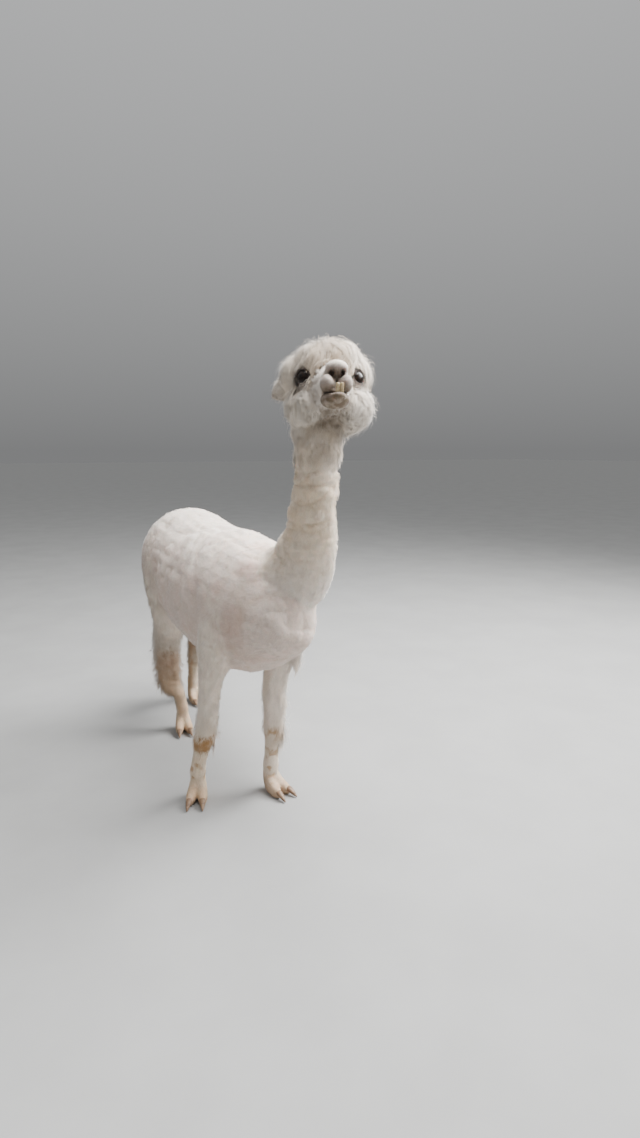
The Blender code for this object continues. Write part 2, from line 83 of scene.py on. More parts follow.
# ---------------------------------------------------------------- forms of the body
# Rows are (left, forward, up, half width, rise, drop). A seventh value is the depth of the coat.
TRUNK = (
    (0.0, -0.242, 0.650, 0.020, 0.020, 0.020),
    (0.0, -0.220, 0.670, 0.105, 0.105, 0.120),
    (0.0, -0.165, 0.680, 0.155, 0.165, 0.190),
    (0.0, -0.090, 0.680, 0.182, 0.207, 0.225),
    (0.0, 0.000, 0.675, 0.190, 0.228, 0.215),
    (0.0, 0.120, 0.665, 0.190, 0.224, 0.215),
    (0.0, 0.250, 0.655, 0.192, 0.216, 0.225),
    (0.0, 0.400, 0.645, 0.192, 0.222, 0.232),
    (0.0, 0.540, 0.645, 0.186, 0.224, 0.228),
    (0.0, 0.650, 0.650, 0.174, 0.210, 0.218),
    (0.003, 0.740, 0.655, 0.152, 0.180, 0.185),
    (0.010, 0.820, 0.665, 0.118, 0.140, 0.138),
    (0.018, 0.874, 0.695, 0.070, 0.085, 0.080),
    (0.022, 0.898, 0.705, 0.020, 0.020, 0.020),
)
NECK = (
    (0.042, 0.985, 1.260, 0.050, 0.055, 0.055),
    (0.045, 0.970, 1.180, 0.055, 0.062, 0.062),
    (0.046, 0.957, 1.100, 0.058, 0.066, 0.066),
    (0.049, 0.942, 1.010, 0.061, 0.072, 0.074),
    (0.055, 0.918, 0.930, 0.067, 0.082, 0.086),
    (0.062, 0.880, 0.850, 0.079, 0.098, 0.106),
    (0.055, 0.815, 0.760, 0.095, 0.110, 0.125),
    (0.015, 0.700, 0.680, 0.110, 0.110, 0.130),
)
THROAT = (
    (0.043, 0.985, 1.275, 0.070, 0.060, 0.080),
    (0.047, 0.972, 1.215, 0.070, 0.070, 0.080),
    (0.050, 0.962, 1.160, 0.065, 0.076, 0.078),
    (0.050, 0.953, 1.105, 0.063, 0.076, 0.074),
    (0.048, 0.948, 1.070, 0.058, 0.068, 0.068),
)
TAIL = (
    (0.000, -0.165, 0.832, 0.018, 0.018, 0.018),
    (0.003, -0.218, 0.815, 0.030, 0.024, 0.024),
    (0.006, -0.254, 0.765, 0.037, 0.026, 0.026),
    (0.009, -0.268, 0.695, 0.038, 0.025, 0.025),
    (0.010, -0.270, 0.620, 0.032, 0.021, 0.021),
    (0.010, -0.264, 0.560, 0.012, 0.010, 0.010),
)
LEGS = {
    "front_right": (
        (-0.105, 0.680, 0.700, 0.060, 0.080, 0.100, 0.006),
        (-0.117, 0.640, 0.580, 0.065, 0.085, 0.100, 0.006),
        (-0.125, 0.600, 0.480, 0.055, 0.070, 0.075, 0.006),
        (-0.134, 0.585, 0.400, 0.042, 0.050, 0.050, 0.006),
        (-0.142, 0.580, 0.320, 0.039, 0.045, 0.045, 0.007),
        (-0.150, 0.577, 0.260, 0.044, 0.048, 0.046, 0.011),
        (-0.158, 0.569, 0.205, 0.043, 0.044, 0.046, 0.012),
        (-0.164, 0.562, 0.172, 0.029, 0.030, 0.033, 0.005),
        (-0.170, 0.551, 0.125, 0.025, 0.026, 0.029, 0.0025),
        (-0.174, 0.544, 0.085, 0.028, 0.029, 0.031, 0.0025),
        (-0.176, 0.546, 0.060, 0.022, 0.022, 0.022, 0.0025),
    ),
    "front_left": (
        (0.100, 0.690, 0.700, 0.060, 0.080, 0.100, 0.006),
        (0.100, 0.655, 0.580, 0.065, 0.085, 0.100, 0.006),
        (0.090, 0.630, 0.480, 0.055, 0.070, 0.075, 0.006),
        (0.075, 0.622, 0.400, 0.048, 0.050, 0.052, 0.008),
        (0.066, 0.622, 0.320, 0.048, 0.048, 0.048, 0.011),
        (0.062, 0.624, 0.260, 0.044, 0.048, 0.046, 0.012),
        (0.060, 0.624, 0.205, 0.038, 0.042, 0.044, 0.010),
        (0.058, 0.622, 0.172, 0.028, 0.030, 0.033, 0.005),
        (0.056, 0.620, 0.125, 0.025, 0.026, 0.029, 0.0025),
        (0.054, 0.618, 0.085, 0.028, 0.029, 0.031, 0.0025),
        (0.054, 0.624, 0.060, 0.022, 0.022, 0.022, 0.0025),
    ),
    "hind_right": (
        (-0.095, 0.000, 0.760, 0.075, 0.120, 0.120, 0.006),
        (-0.112, 0.020, 0.660, 0.082, 0.140, 0.150, 0.006),
        (-0.120, 0.060, 0.560, 0.074, 0.120, 0.145, 0.006),
        (-0.114, 0.045, 0.470, 0.064, 0.085, 0.110, 0.007),
        (-0.110, 0.005, 0.395, 0.060, 0.055, 0.085, 0.012),
        (-0.108, -0.022, 0.335, 0.060, 0.042, 0.075, 0.017),
        (-0.104, -0.032, 0.270, 0.060, 0.038, 0.076, 0.018),
        (-0.102, -0.028, 0.195, 0.057, 0.034, 0.068, 0.017),
        (-0.076, -0.002, 0.155, 0.030, 0.026, 0.032, 0.004),
        (-0.068, 0.002, 0.115, 0.025, 0.026, 0.029, 0.0025),
        (-0.063, 0.002, 0.085, 0.027, 0.029, 0.031, 0.0025),
        (-0.063, 0.008, 0.060, 0.022, 0.022, 0.022, 0.0025),
    ),
    "hind_left": (
        (0.095, -0.010, 0.760, 0.075, 0.120, 0.110, 0.006),
        (0.110, -0.010, 0.660, 0.080, 0.140, 0.130, 0.006),
        (0.118, -0.030, 0.560, 0.070, 0.115, 0.120, 0.006),
        (0.110, -0.095, 0.470, 0.058, 0.075, 0.085, 0.006),
        (0.100, -0.170, 0.400, 0.050, 0.055, 0.060, 0.007),
        (0.090, -0.225, 0.340, 0.048, 0.045, 0.048, 0.009),
        (0.083, -0.245, 0.270, 0.043, 0.036, 0.045, 0.010),
        (0.077, -0.262, 0.200, 0.038, 0.030, 0.042, 0.010),
        (0.073, -0.272, 0.150, 0.027, 0.026, 0.029, 0.004),
        (0.072, -0.276, 0.115, 0.025, 0.026, 0.029, 0.0025),
        (0.071, -0.278, 0.085, 0.027, 0.029, 0.031, 0.0025),
        (0.070, -0.272, 0.060, 0.022, 0.022, 0.022, 0.0025),
    ),
}
TOE_OUT = {
    "front_right": math.radians(-25),
    "front_left": math.radians(15),
    "hind_right": math.radians(-10),
    "hind_left": math.radians(6),
}
TOE = (  # (outwards, forward, up, half width, rise, drop)
    (0.0000, -0.002, 0.100, 0.0180, 0.018, 0.018),
    (0.0010, -0.004, 0.078, 0.0220, 0.024, 0.022),
    (0.0060, 0.002, 0.054, 0.0210, 0.024, 0.032),
    (0.0130, 0.020, 0.036, 0.0190, 0.018, 0.042),
    (0.0180, 0.042, 0.025, 0.0175, 0.015, 0.033),
    (0.0200, 0.060, 0.020, 0.0140, 0.012, 0.027),
    (0.0210, 0.071, 0.017, 0.0080, 0.007, 0.018),
    (0.0215, 0.076, 0.016, 0.0030, 0.003, 0.006),
)
TOE_DEPTH = 0.0012
TOENAIL = (
    (0.0200, 0.056, 0.0240, 0.0080, 0.0050, 0.0050),
    (0.0212, 0.070, 0.0215, 0.0100, 0.0070, 0.0110),
    (0.0225, 0.083, 0.0165, 0.0080, 0.0055, 0.0110),
    (0.0238, 0.094, 0.0105, 0.0050, 0.0040, 0.0075),
    (0.0245, 0.103, 0.0052, 0.0015, 0.0012, 0.0025),
)

# ---------------------------------------------------------------- forms of the head
FACE = (
    (0.000, -0.060, -0.020, 0.070, 0.060, 0.075, 0.012),
    (0.000, -0.020, -0.026, 0.062, 0.060, 0.076, 0.012),
    (0.001, 0.015, -0.034, 0.053, 0.057, 0.066, 0.010),
    (0.001, 0.045, -0.043, 0.044, 0.051, 0.055, 0.0065),
    (0.002, 0.075, -0.052, 0.038, 0.045, 0.047, 0.0030),
    (0.002, 0.100, -0.059, 0.034, 0.043, 0.044, 0.0015),
    (0.002, 0.116, -0.064, 0.027, 0.036, 0.038, 0.0015),
    (0.002, 0.126, -0.066, 0.014, 0.022, 0.024, 0.0015),
    (0.002, 0.130, -0.066, 0.004, 0.006, 0.006, 0.0015),
)
CROWN_BALLS = (  # middle and radii on the head
    ((0.003, -0.052, 0.033), (0.097, 0.098, 0.076)),
    ((0.004, -0.014, 0.056), (0.080, 0.050, 0.040)),
    ((0.062, -0.074, 0.036), (0.056, 0.068, 0.050)),
    ((-0.060, -0.074, 0.034), (0.056, 0.068, 0.050)),
)
CHEEK_BALLS = (
    ((0.062, -0.055, -0.058), (0.056, 0.060, 0.056)),
    ((-0.054, -0.058, -0.054), (0.052, 0.060, 0.056)),
    ((0.046, -0.088, -0.040), (0.056, 0.054, 0.078)),
    ((-0.042, -0.088, -0.040), (0.054, 0.054, 0.078)),
    ((0.049, -0.012, -0.062), (0.038, 0.044, 0.047)),
    ((-0.046, -0.012, -0.062), (0.038, 0.044, 0.047)),
)
SNOUT_BALLS = (
    ((0.0231, 0.128, -0.0690), (0.0172, 0.026, 0.0212)),
    ((-0.0201, 0.128, -0.0690), (0.0172, 0.026, 0.0212)),
    ((0.0038, 0.124, -0.0335), (0.0285, 0.028, 0.0210)),
    ((0.0005, 0.107, -0.0980), (0.0360, 0.031, 0.0215)),
    ((0.0040, 0.136, -0.1015), (0.0200, 0.018, 0.0110)),
)
LID_RADII = (0.0265, 0.0262, 0.0255)
LID_DEPTH = 0.0075  # how far the lids' middle lies behind the eye's
EAR = (  # along the ear: half width, bulge of the back, hollow of the front
    (0.000, 0.012, 0.008, 0.006),
    (0.020, 0.021, 0.014, -0.006),
    (0.045, 0.028, 0.017, -0.010),
    (0.070, 0.026, 0.015, -0.009),
    (0.095, 0.016, 0.009, -0.005),
    (0.112, 0.004, 0.003, -0.001),
)
EAR_ENDS = {  # root and tip on the head
    "right": ((-0.062, -0.086, 0.028), (-0.130, -0.118, 0.002)),
    "left": ((0.062, -0.086, 0.028), (0.112, -0.154, -0.004)),
}
EAR_DROOP = 0.006
EAR_OPENS = np.array((0, 0.9, -0.3))  # the way that the ears' hollows face
INCISOR = (  # from the gum upwards
    (0.0, 0.122, -0.106, 0.0042, 0.0030, 0.0030),
    (0.0, 0.138, -0.097, 0.0047, 0.0032, 0.0032),
    (0.0, 0.149, -0.085, 0.0050, 0.0028, 0.0028),
    (0.0, 0.154, -0.075, 0.0045, 0.0018, 0.0018),
)
INCISORS = (0.0111, 0.0019)  # how far to the left each one stands
WHORL = np.array((0.002, -0.060, 0.105))  # where the topknot's locks part
WISPS = ((0.098, 0.625, 0.205), (0.092, 0.640, 0.180), (-0.116, 0.578, 0.205))  # on the body
ELBOW = (0.122, 0.690, 0.492)  # of the left front leg, where a tuft hangs


# ---------------------------------------------------------------- frames
def place(points):
    """Places on the body in the part's frame."""
    return np.asarray(points, float) * (1, -1, 1) + HIPS


def from_hips(points):
    """How far points in the part's frame lie to the left, forward and up on the body."""
    return ((points - HIPS) * (1, -1, 1)).T


def head_frame():
    turn = Matrix.Rotation(-HEAD_TURN, 4, "Z")
    pitch = Matrix.Rotation(-HEAD_PITCH, 4, "X")
    face_front = Matrix(((1, 0, 0, 0), (0, -1, 0, 0), (0, 0, 1, 0), (0, 0, 0, 1)))
    return np.array(Matrix.Translation(place(EYES_MIDDLE)) @ turn @ pitch @ face_front)


HEAD = head_frame()
HEAD_TURNED = HEAD[:3, :3]


def on_head(points):
    """Places in the head's own axes, in the part's frame."""
    return np.asarray(points, float) @ HEAD_TURNED.T + HEAD[:3, 3]


def from_head(points):
    """Places in the part's frame, in the head's own axes."""
    return (points - HEAD[:3, 3]) @ HEAD_TURNED


def unit(vectors):
    return vectors / np.maximum(np.linalg.norm(vectors, axis=-1, keepdims=True), 1e-9)


def blend_in(value, start, full):
    """0 at start, 1 at full, smooth between."""
    t = np.clip((value - start) / (full - start), 0, 1)
    return t * t * (3 - 2 * t)


# ---------------------------------------------------------------- noise
def noise(points, size, seed=0):
    """Smooth noise from -1 to 1 with cells of that size."""
    cell = points / size + seed * 17.3
    low = np.floor(cell).astype(np.int64)
    part = cell - low
    part = part * part * (3 - 2 * part)
    total = np.zeros(len(points))
    for corner in np.ndindex(2, 2, 2):
        where = low + corner
        mixed = where[:, 0] * 73856093 ^ where[:, 1] * 19349663 ^ where[:, 2] * 83492791
        mixed = (mixed ^ (mixed >> 13)) * 1274126177 & 0x7FFFFFFF
        share = np.prod(np.where(corner, part, 1 - part), axis=1)
        total += share * ((mixed % 65536) / 32767.5 - 1)
    return total


# ---------------------------------------------------------------- lofts and balls
def smooth_rows(rows, steps):
    """Catmull-Rom through the rows of a loft, at evenly spaced points of each stretch."""
    rows = np.array(rows, float)
    ends = np.vstack([2 * rows[0] - rows[1], rows, 2 * rows[-1] - rows[-2]])
    made = []
    for a, b, c, d in zip(ends, ends[1:], ends[2:], ends[3:]):
        for t in np.arange(steps) / steps:
            bend = (2 * a - 5 * b + 4 * c - d) * t**2 + (3 * b - a - 3 * c + d) * t**3
            made.append(b + 0.5 * ((c - a) * t + bend))
    made.append(rows[-1])
    return np.array(made)


class Loft:
    """A swept form: the middles of its rings, their axes, and how far they reach."""

    def __init__(self, kind, rows, world, side, depth=0.0, steps=5, square=2.0, lie=1):
        fine = smooth_rows(rows, steps)
        self.kind = kind
        self.square = square
        self.depth = fine[:, 6] if fine.shape[1] > 6 else np.full(len(fine), depth)
        self.middle = world(fine[:, :3])
        self.reach = np.maximum(fine[:, 3:6] - self.depth[:, None], 0.0008)
        self.tangent = unit(
            np.vstack([self.middle[1:], self.middle[-1:]])
            - np.vstack([self.middle[:1], self.middle[:-1]])
        )
        side = np.asarray(side, float)
        self.across = unit(side - self.tangent * (self.tangent @ side)[:, None])
        self.over = np.cross(self.tangent, self.across)
        self.lie = self.tangent * lie

    def rings(self, around=32):
        turn = np.arange(around) / around * math.tau
        c, s = np.cos(turn), np.sin(turn)
        x = np.sign(c) * np.abs(c) ** (2 / self.square)
        y = np.sign(s) * np.abs(s) ** (2 / self.square)
        width, rise, drop = self.reach.T[:, :, None]
        over = np.where(y > 0, rise, drop) * y
        return (
            self.middle[:, None]
            + self.across[:, None] * (width * x)[..., None]
            + self.over[:, None] * over[..., None]
        )

    def mesh(self, around=32):
        return tube(self.rings(around))

    def measure(self, points):
        """Which ring points are nearest to, and how far outside the surface they lie."""
        away = (self.middle**2).sum(1) - 2 * points @ self.middle.T
        near = np.argmin(away, axis=1)
        offset = points - self.middle[near]
        along = (offset * self.tangent[near]).sum(1)
        x = (offset * self.across[near]).sum(1)
        y = (offset * self.over[near]).sum(1)
        width, rise, drop = self.reach[near].T
        over = np.where(y > 0, rise, drop)
        radius = np.hypot(x, y) + 1e-9
        power = self.square
        shape = (np.abs(x) / radius / width) ** power + (np.abs(y) / radius / over) ** power
        gap = radius - shape ** (-1 / power)
        past_end = (near == 0) | (near == len(self.middle) - 1)
        gap = np.where(past_end, np.maximum(gap, np.abs(along)), gap)
        return near, np.arctan2(y, x), gap


class Ball:
    """An ellipsoid lined up with the head's axes."""

    def __init__(self, kind, middle, radii, depth):
        self.kind = kind
        self.middle = np.array(middle, float)
        self.radii = np.array(radii, float) - depth
        self.depth = depth

    def mesh(self, around=32):
        half = np.arange(1, around // 2) / (around // 2) * math.pi
        turn = np.arange(around) / around * math.tau
        sides = np.array([np.cos(turn), np.sin(turn)]).T
        rings = np.concatenate(
            [
                np.sin(half)[:, None, None] * sides[None],
                np.broadcast_to(np.cos(half)[:, None, None], (len(half), around, 1)),
            ],
            axis=2,
        )
        return tube(on_head((rings * self.radii + self.middle).reshape(-1, 3)).reshape(rings.shape))

    def measure(self, points):
        offset = from_head(points) - self.middle
        scaled = np.linalg.norm(offset / self.radii, axis=1) + 1e-9
        return (scaled - 1) / scaled * np.linalg.norm(offset, axis=1)


def tube(rings):
    """Vertices and faces of a closed tube through rings of points."""
    count, around = rings.shape[:2]
    index = np.arange(count * around).reshape(count, around)
    following = np.roll(index, -1, axis=1)
    quads = np.stack([index[:-1], following[:-1], following[1:], index[1:]], axis=-1)
    faces = [list(face) for face in quads.reshape(-1, 4)]
    faces.append(list(index[0][::-1]))
    faces.append(list(index[-1]))
    return rings.reshape(-1, 3), faces


def head_lie(points):
    """The way the head's long locks fall: out from the whorl and down."""
    out = unit(from_head(points) - WHORL) @ HEAD_TURNED.T
    return unit(out + (0, 0, -0.55))


def face_lie(points):
    """The way the face's hair falls: back from the nose, outwards and down."""
    left = np.clip(from_head(points)[:, :1] / 0.03, -1, 1)
    return unit(-HEAD_TURNED[:, 1] + 0.45 * left * HEAD_TURNED[:, 0] - 0.45 * HEAD_TURNED[:, 2])


# ---------------------------------------------------------------- the animal's forms
def toe_frame(leg):
    left, forward = LEGS[leg][-2][:2]
    turn, middle = TOE_OUT[leg], place((left, forward, 0.0))
    c, s = math.cos(turn), math.sin(turn)
    return np.array(((c, -s, 0), (s, c, 0), (0, 0, 1))), middle


def toe_loft(leg, side, rows, depth, steps):
    turned, middle = toe_frame(leg)
    return Loft(
        "foot",
        rows,
        lambda p: (p * (side, -1, 1)) @ turned.T + middle,
        turned @ (1, 0, 0),
        depth,
        steps,
    )


def ear_loft(side, steps=3):
    root, tip = (on_head(end) for end in EAR_ENDS[side])
    rows = np.array(EAR)
    along = rows[:, :1] / EAR[-1][0]
    middle = root + (tip - root) * along - (0, 0, EAR_DROOP) * along**2
    across = unit(np.cross(tip - root, HEAD_TURNED @ EAR_OPENS))
    rows = np.hstack([middle, rows[:, 1:]])
    return Loft("ear", rows, lambda p: p, across, 0.0, steps)


def animal_forms():
    side = (1, 0, 0)
    forms = [
        Loft("trunk", TRUNK, place, side, BODY_DEPTH, square=2.15, lie=-1),
        Loft("neck", NECK, place, side, NECK_DEPTH),
        Loft("throat", THROAT, place, side, THROAT_DEPTH),
        Loft("tail", TAIL, place, side, TAIL_DEPTH),
        Loft("face", FACE, on_head, HEAD_TURNED @ side, FACE_DEPTH, 4, 2.2, lie=-1),
    ]
    for leg, rows in LEGS.items():
        forms.append(Loft("leg", rows, place, side))
        forms += [toe_loft(leg, out, TOE, TOE_DEPTH, 4) for out in (1, -1)]
    forms += [ear_loft(name) for name in EAR_ENDS]
    forms += [Ball("crown", *ball, WOOL_DEPTH) for ball in CROWN_BALLS]
    forms += [Ball("cheek", *ball, WOOL_DEPTH) for ball in CHEEK_BALLS]
    forms += [Ball("face", *ball, FACE_DEPTH) for ball in SNOUT_BALLS]
    for out in (1, -1):
        facing = np.array(EYE_FACING) * (out, 1, 1)
        middle = np.array(EYE_MIDDLES[out]) - LID_DEPTH * facing
        forms.append(Ball("face", middle, LID_RADII, FACE_DEPTH))
    return forms


FORMS = animal_forms()
KINDS = ("trunk", "neck", "throat", "tail", "face", "leg", "foot", "ear", "crown", "cheek")


# ---------------------------------------------------------------- meshes
def linked(name, mesh):
    made = bpy.data.objects.new(name, mesh)
    bpy.context.scene.collection.objects.link(made)
    return made


def mesh_object(name, parts):
    """One object from several (vertices, faces)."""
    vertices, faces, start = [], [], 0
    for points, polygons in parts:
        vertices.append(points)
        faces += [[start + k for k in face] for face in polygons]
        start += len(points)
    mesh = bpy.data.meshes.new(name)
    mesh.from_pydata(np.vstack(vertices).tolist(), [], faces)
    return linked(name, mesh)


def coordinates(mesh):
    flat = np.empty(len(mesh.vertices) * 3)
    mesh.vertices.foreach_get("co", flat)
    return flat.reshape(-1, 3)


def normals(mesh):
    flat = np.empty(len(mesh.vertices) * 3)
    mesh.vertex_normals.foreach_get("vector", flat)
    return flat.reshape(-1, 3)


def set_coordinates(mesh, points):
    mesh.vertices.foreach_set("co", np.ascontiguousarray(points, float).ravel())
    mesh.update()


def smoothed(mesh, share, rounds):
    """Moves vertices towards the middle of their neighbours, as far as share says."""
    pairs = np.empty(len(mesh.edges) * 2, int)
    mesh.edges.foreach_get("vertices", pairs)
    a, b = pairs.reshape(-1, 2).T
    points = coordinates(mesh)
    count = np.bincount(a, minlength=len(points)) + np.bincount(b, minlength=len(points))
    for _ in range(rounds):
        total = np.empty_like(points)
        for axis in range(3):
            total[:, axis] = np.bincount(a, points[b, axis], len(points))
            total[:, axis] += np.bincount(b, points[a, axis], len(points))
        points += (total / count[:, None] - points) * share[:, None]
    set_coordinates(mesh, points)


def refine(obj, chosen):
    """Splits the edges of the chosen vertices' faces."""
    shape = bmesh.new()
    shape.from_mesh(obj.data)
    wanted = np.flatnonzero(chosen)
    shape.verts.ensure_lookup_table()
    edges = {edge for k in wanted for edge in shape.verts[k].link_edges}
    bmesh.ops.subdivide_edges(shape, edges=list(edges), cuts=1, use_grid_fill=True)
    shape.to_mesh(obj.data)
    shape.free()


# ---------------------------------------------------------------- the skin
def eye_axes(out):
    """The ways an eye faces and the ways to the rear of it and above it, on the head."""
    facing = unit(np.array(EYE_FACING) * (out, 1, 1))
    rear = unit(np.cross(facing, (0, 0, 1))) * out
    return facing, rear, np.cross(rear, facing) * out


def eye_angles(points, out):
    """How far points lie behind, above, ahead and away from an eye's middle, and their offset."""
    facing, rear, above = eye_axes(out)
    offset = from_head(points) - EYE_MIDDLES[out]
    ahead = offset @ facing
    return offset @ rear, offset @ above, ahead, np.linalg.norm(offset, axis=1), offset


def eye_opening(back, up):
    """Below 1 between the lids, 1 on their edges."""
    corner, above, below = EYE_OPENING
    return (back / corner) ** 2 + (up / np.where(up > 0, above, below)) ** 2


def shape_lids(points):
    """Opens the lids over the eyes and lays them round the balls."""
    for out in (1, -1):
        back, up, ahead, away, offset = eye_angles(points, out)
        near = (away < 0.034) & (ahead > -0.002)
        opening = eye_opening(back, up)
        inside = 1 - blend_in(opening, 0.80, 1.05)
        lid = EYE_RADIUS + 0.0016 + 0.0012 * (1 - blend_in(opening, 1.0, 1.6))
        fold = -0.0014 * np.exp(-(((np.sqrt(opening) - 1.75) / 0.16) ** 2)) * (up > -0.004)
        wanted = np.where(inside > 0.5, EYE_RADIUS - 0.0035, np.maximum(away, lid) + fold)
        share = near * (1 - blend_in(away, 0.0275, 0.034))
        target = offset / away[:, None] * wanted[:, None]
        moved = on_head(target + EYE_MIDDLES[out])
        points = points + (moved - points) * share[:, None]
    return points


def press(points, normal, middle, radii, depth, tilt=0.0):
    """Presses in an oval hollow at a place on the head, tilted about the way it faces."""
    offset = from_head(points) - middle
    c, s = math.cos(tilt), math.sin(tilt)
    x = offset[:, 0] * c + offset[:, 2] * s
    z = -offset[:, 0] * s + offset[:, 2] * c
    far = (x / radii[0]) ** 2 + (offset[:, 1] / radii[1]) ** 2 + (z / radii[2]) ** 2
    return points - normal * (depth * np.exp(-far))[:, None]


def mouth_line(on):
    """Height of the mouth over the snout, rising to its corners."""
    return -0.0900 + 0.0085 * blend_in(0.130 - on[:, 1], 0, 0.035)


def shape_face(points, normal):
    """Nostrils, split lip, mouth line and the hollows under the eyes."""
    for out in (1, -1):
        nostril = (NOSE_LEFT + out * NOSTRIL_SPREAD, 0.142, -0.0470)
        points = press(points, normal, nostril, (0.0058, 0.014, 0.0038), 0.0105, out * 0.75)
        wing = (NOSE_LEFT + out * 0.0075, 0.142, -0.0545)
        points = press(points, normal, wing, (0.0075, 0.014, 0.0026), 0.0050, out * 0.55)
        points = press(points, normal, (out * 0.036, 0.055, -0.040), (0.014, 0.030, 0.012), 0.0025)
    points = press(points, normal, (0.0030, 0.142, -0.063), (0.0024, 0.02, 0.013), 0.0065)
    on = from_head(points)
    groove = np.exp(-(((on[:, 2] - mouth_line(on)) / 0.0024) ** 2))
    groove *= blend_in(on[:, 1], 0.078, 0.100)
    return points - normal * (0.0050 * groove)[:, None]


MEAN_PUFF = 0.35  # taken off, so that puffs leave the skin's size as it is


def puffs(points, size, seed):
    """Rounded mounds with valleys between them, and where the valleys run."""
    level = noise(points, size, seed)
    return np.abs(level), np.exp(-((level / 0.07) ** 2))


def clip_marks(points):
    """How far the fleece stands where the shears left it in puffs, and painted shade in the valleys
    between.
    """
    _, forward, up = from_hips(points)
    neck = blend_in(up, 0.74, 0.84) * (forward > 0.7) * (1 - blend_in(up, 1.05, 1.09))
    body = blend_in(up, 0.42, 0.50) * (1 - neck) * (up < 1.05)
    rump = body * (1 - blend_in(forward, -0.12, 0.02))
    broken = blend_in(noise(points, 0.09, 28), -0.5, 0.4)
    height, valley_shade = np.zeros(len(points)), np.zeros(len(points))
    for where, stretch, size, rise in (
        (neck, (0.8, 0.8, 2.4), 0.075, 0.0115),
        (neck, (0.9, 0.9, 2.0), 0.040, 0.0065),
        (body - rump, (1.0, 0.8, 1.0), 0.105, 0.0110),
        (body - rump, (1.0, 0.9, 1.2), 0.048, 0.0060),
        (rump, (1.3, 1.0, 0.40), 0.070, 0.0100),
        (rump, (1.3, 1.0, 0.50), 0.034, 0.0045),
    ):
        mound, valley = puffs(points * stretch, size, int(size * 1000))
        height += where * (0.35 + 0.65 * broken) * rise * (mound - MEAN_PUFF)
        # painted shade in the valleys between the puffs, stronger on the neck
        valley_shade += (0.30 + 0.25 * neck) * where * broken * valley
    shag = (1 - blend_in(up, 0.42, 0.50)) * blend_in(up, 0.16, 0.20)
    height += 0.0035 * shag * noise(points * (1, 1, 0.6), 0.022, 26)
    wool = blend_in(up, COLLAR_HEIGHT, COLLAR_HEIGHT + 0.03) * (1 - face_share(points))
    wool *= 1 - blend_in(np.abs(from_head(points)[:, 0]), 0.080, 0.095)
    lumps = 0.0100 * (puffs(points, 0.050, 52)[0] - MEAN_PUFF)
    height += wool * (0.0035 * noise(points, 0.024, 51) + lumps)
    return height, np.clip(valley_shade, 0, 0.5)


def make_skin():
    """One mesh through all the forms, with the face worked into it."""
    skin = mesh_object("alpaca_skin", [form.mesh() for form in FORMS])
    remesh = skin.modifiers.new("melt", "REMESH")
    remesh.mode = "VOXEL"
    remesh.voxel_size = SKIN_VOXEL
    graph = bpy.context.evaluated_depsgraph_get()
    mesh = bpy.data.meshes.new_from_object(skin.evaluated_get(graph))
    skin.modifiers.clear()
    skin.data = mesh
    mesh.name = "alpaca_skin"

    # the forms melt into each other, most of all under the head's long wool
    head = coordinates(mesh)[:, 2] > COLLAR_HEIGHT - 0.03
    smoothed(mesh, np.where(head, 0.5, 0.6), 3)
    points = coordinates(mesh)
    on = from_head(points)
    wool = blend_in(points[:, 2], COLLAR_HEIGHT + 0.02, COLLAR_HEIGHT + 0.05)
    wool *= 1 - blend_in(np.abs(on[:, 0]), 0.072, 0.088)
    smoothed(mesh, 0.5 * wool * (1 - face_share(points)), 14)
    points = coordinates(mesh)
    set_coordinates(mesh, points + normals(mesh) * clip_marks(points)[0][:, None])

    # the face is worked in finer faces, and its lids are smoothed along their rims
    for least in (0.3, 0.6):
        refine(skin, face_share(coordinates(mesh)) > least)
        smoothed(mesh, 0.5 * face_share(coordinates(mesh)), 2)
    points = shape_lids(shape_face(coordinates(mesh), normals(mesh)))
    rim = np.zeros(len(points))
    for out in (1, -1):
        back, up, ahead, away, _ = eye_angles(points, out)
        ring = np.sqrt(eye_opening(back, up))
        rim = np.maximum(rim, bump_at(ring, 1.15, 0.35) * (ahead > 0) * (away < 0.034))
    set_coordinates(mesh, points)
    smoothed(mesh, 0.5 * rim, 4)
    points = coordinates(mesh)
    points[:, 2] = np.maximum(points[:, 2], 0)  # nothing sinks into the floor
    set_coordinates(mesh, points)
    return skin


def face_share(points):
    """1 on the muzzle and round the eyes, 0 away from them."""
    on = from_head(points)
    muzzle = blend_in(on[:, 1], 0.030, 0.055) * (np.abs(on[:, 2] + 0.05) < 0.12)
    share = np.where(points[:, 2] > COLLAR_HEIGHT, muzzle, 0)
    for out in (1, -1):
        away = np.linalg.norm(on - EYE_MIDDLES[out], axis=1)
        share = np.maximum(share, 1 - blend_in(away, 0.030, 0.042))
    return share


def tree_of(points):
    tree = KDTree(len(points))
    for k, point in enumerate(points):
        tree.insert(point, k)
    tree.balance()
    return tree


def nearest_in(tree, points):
    return np.array([tree.find(point)[1] for point in points])


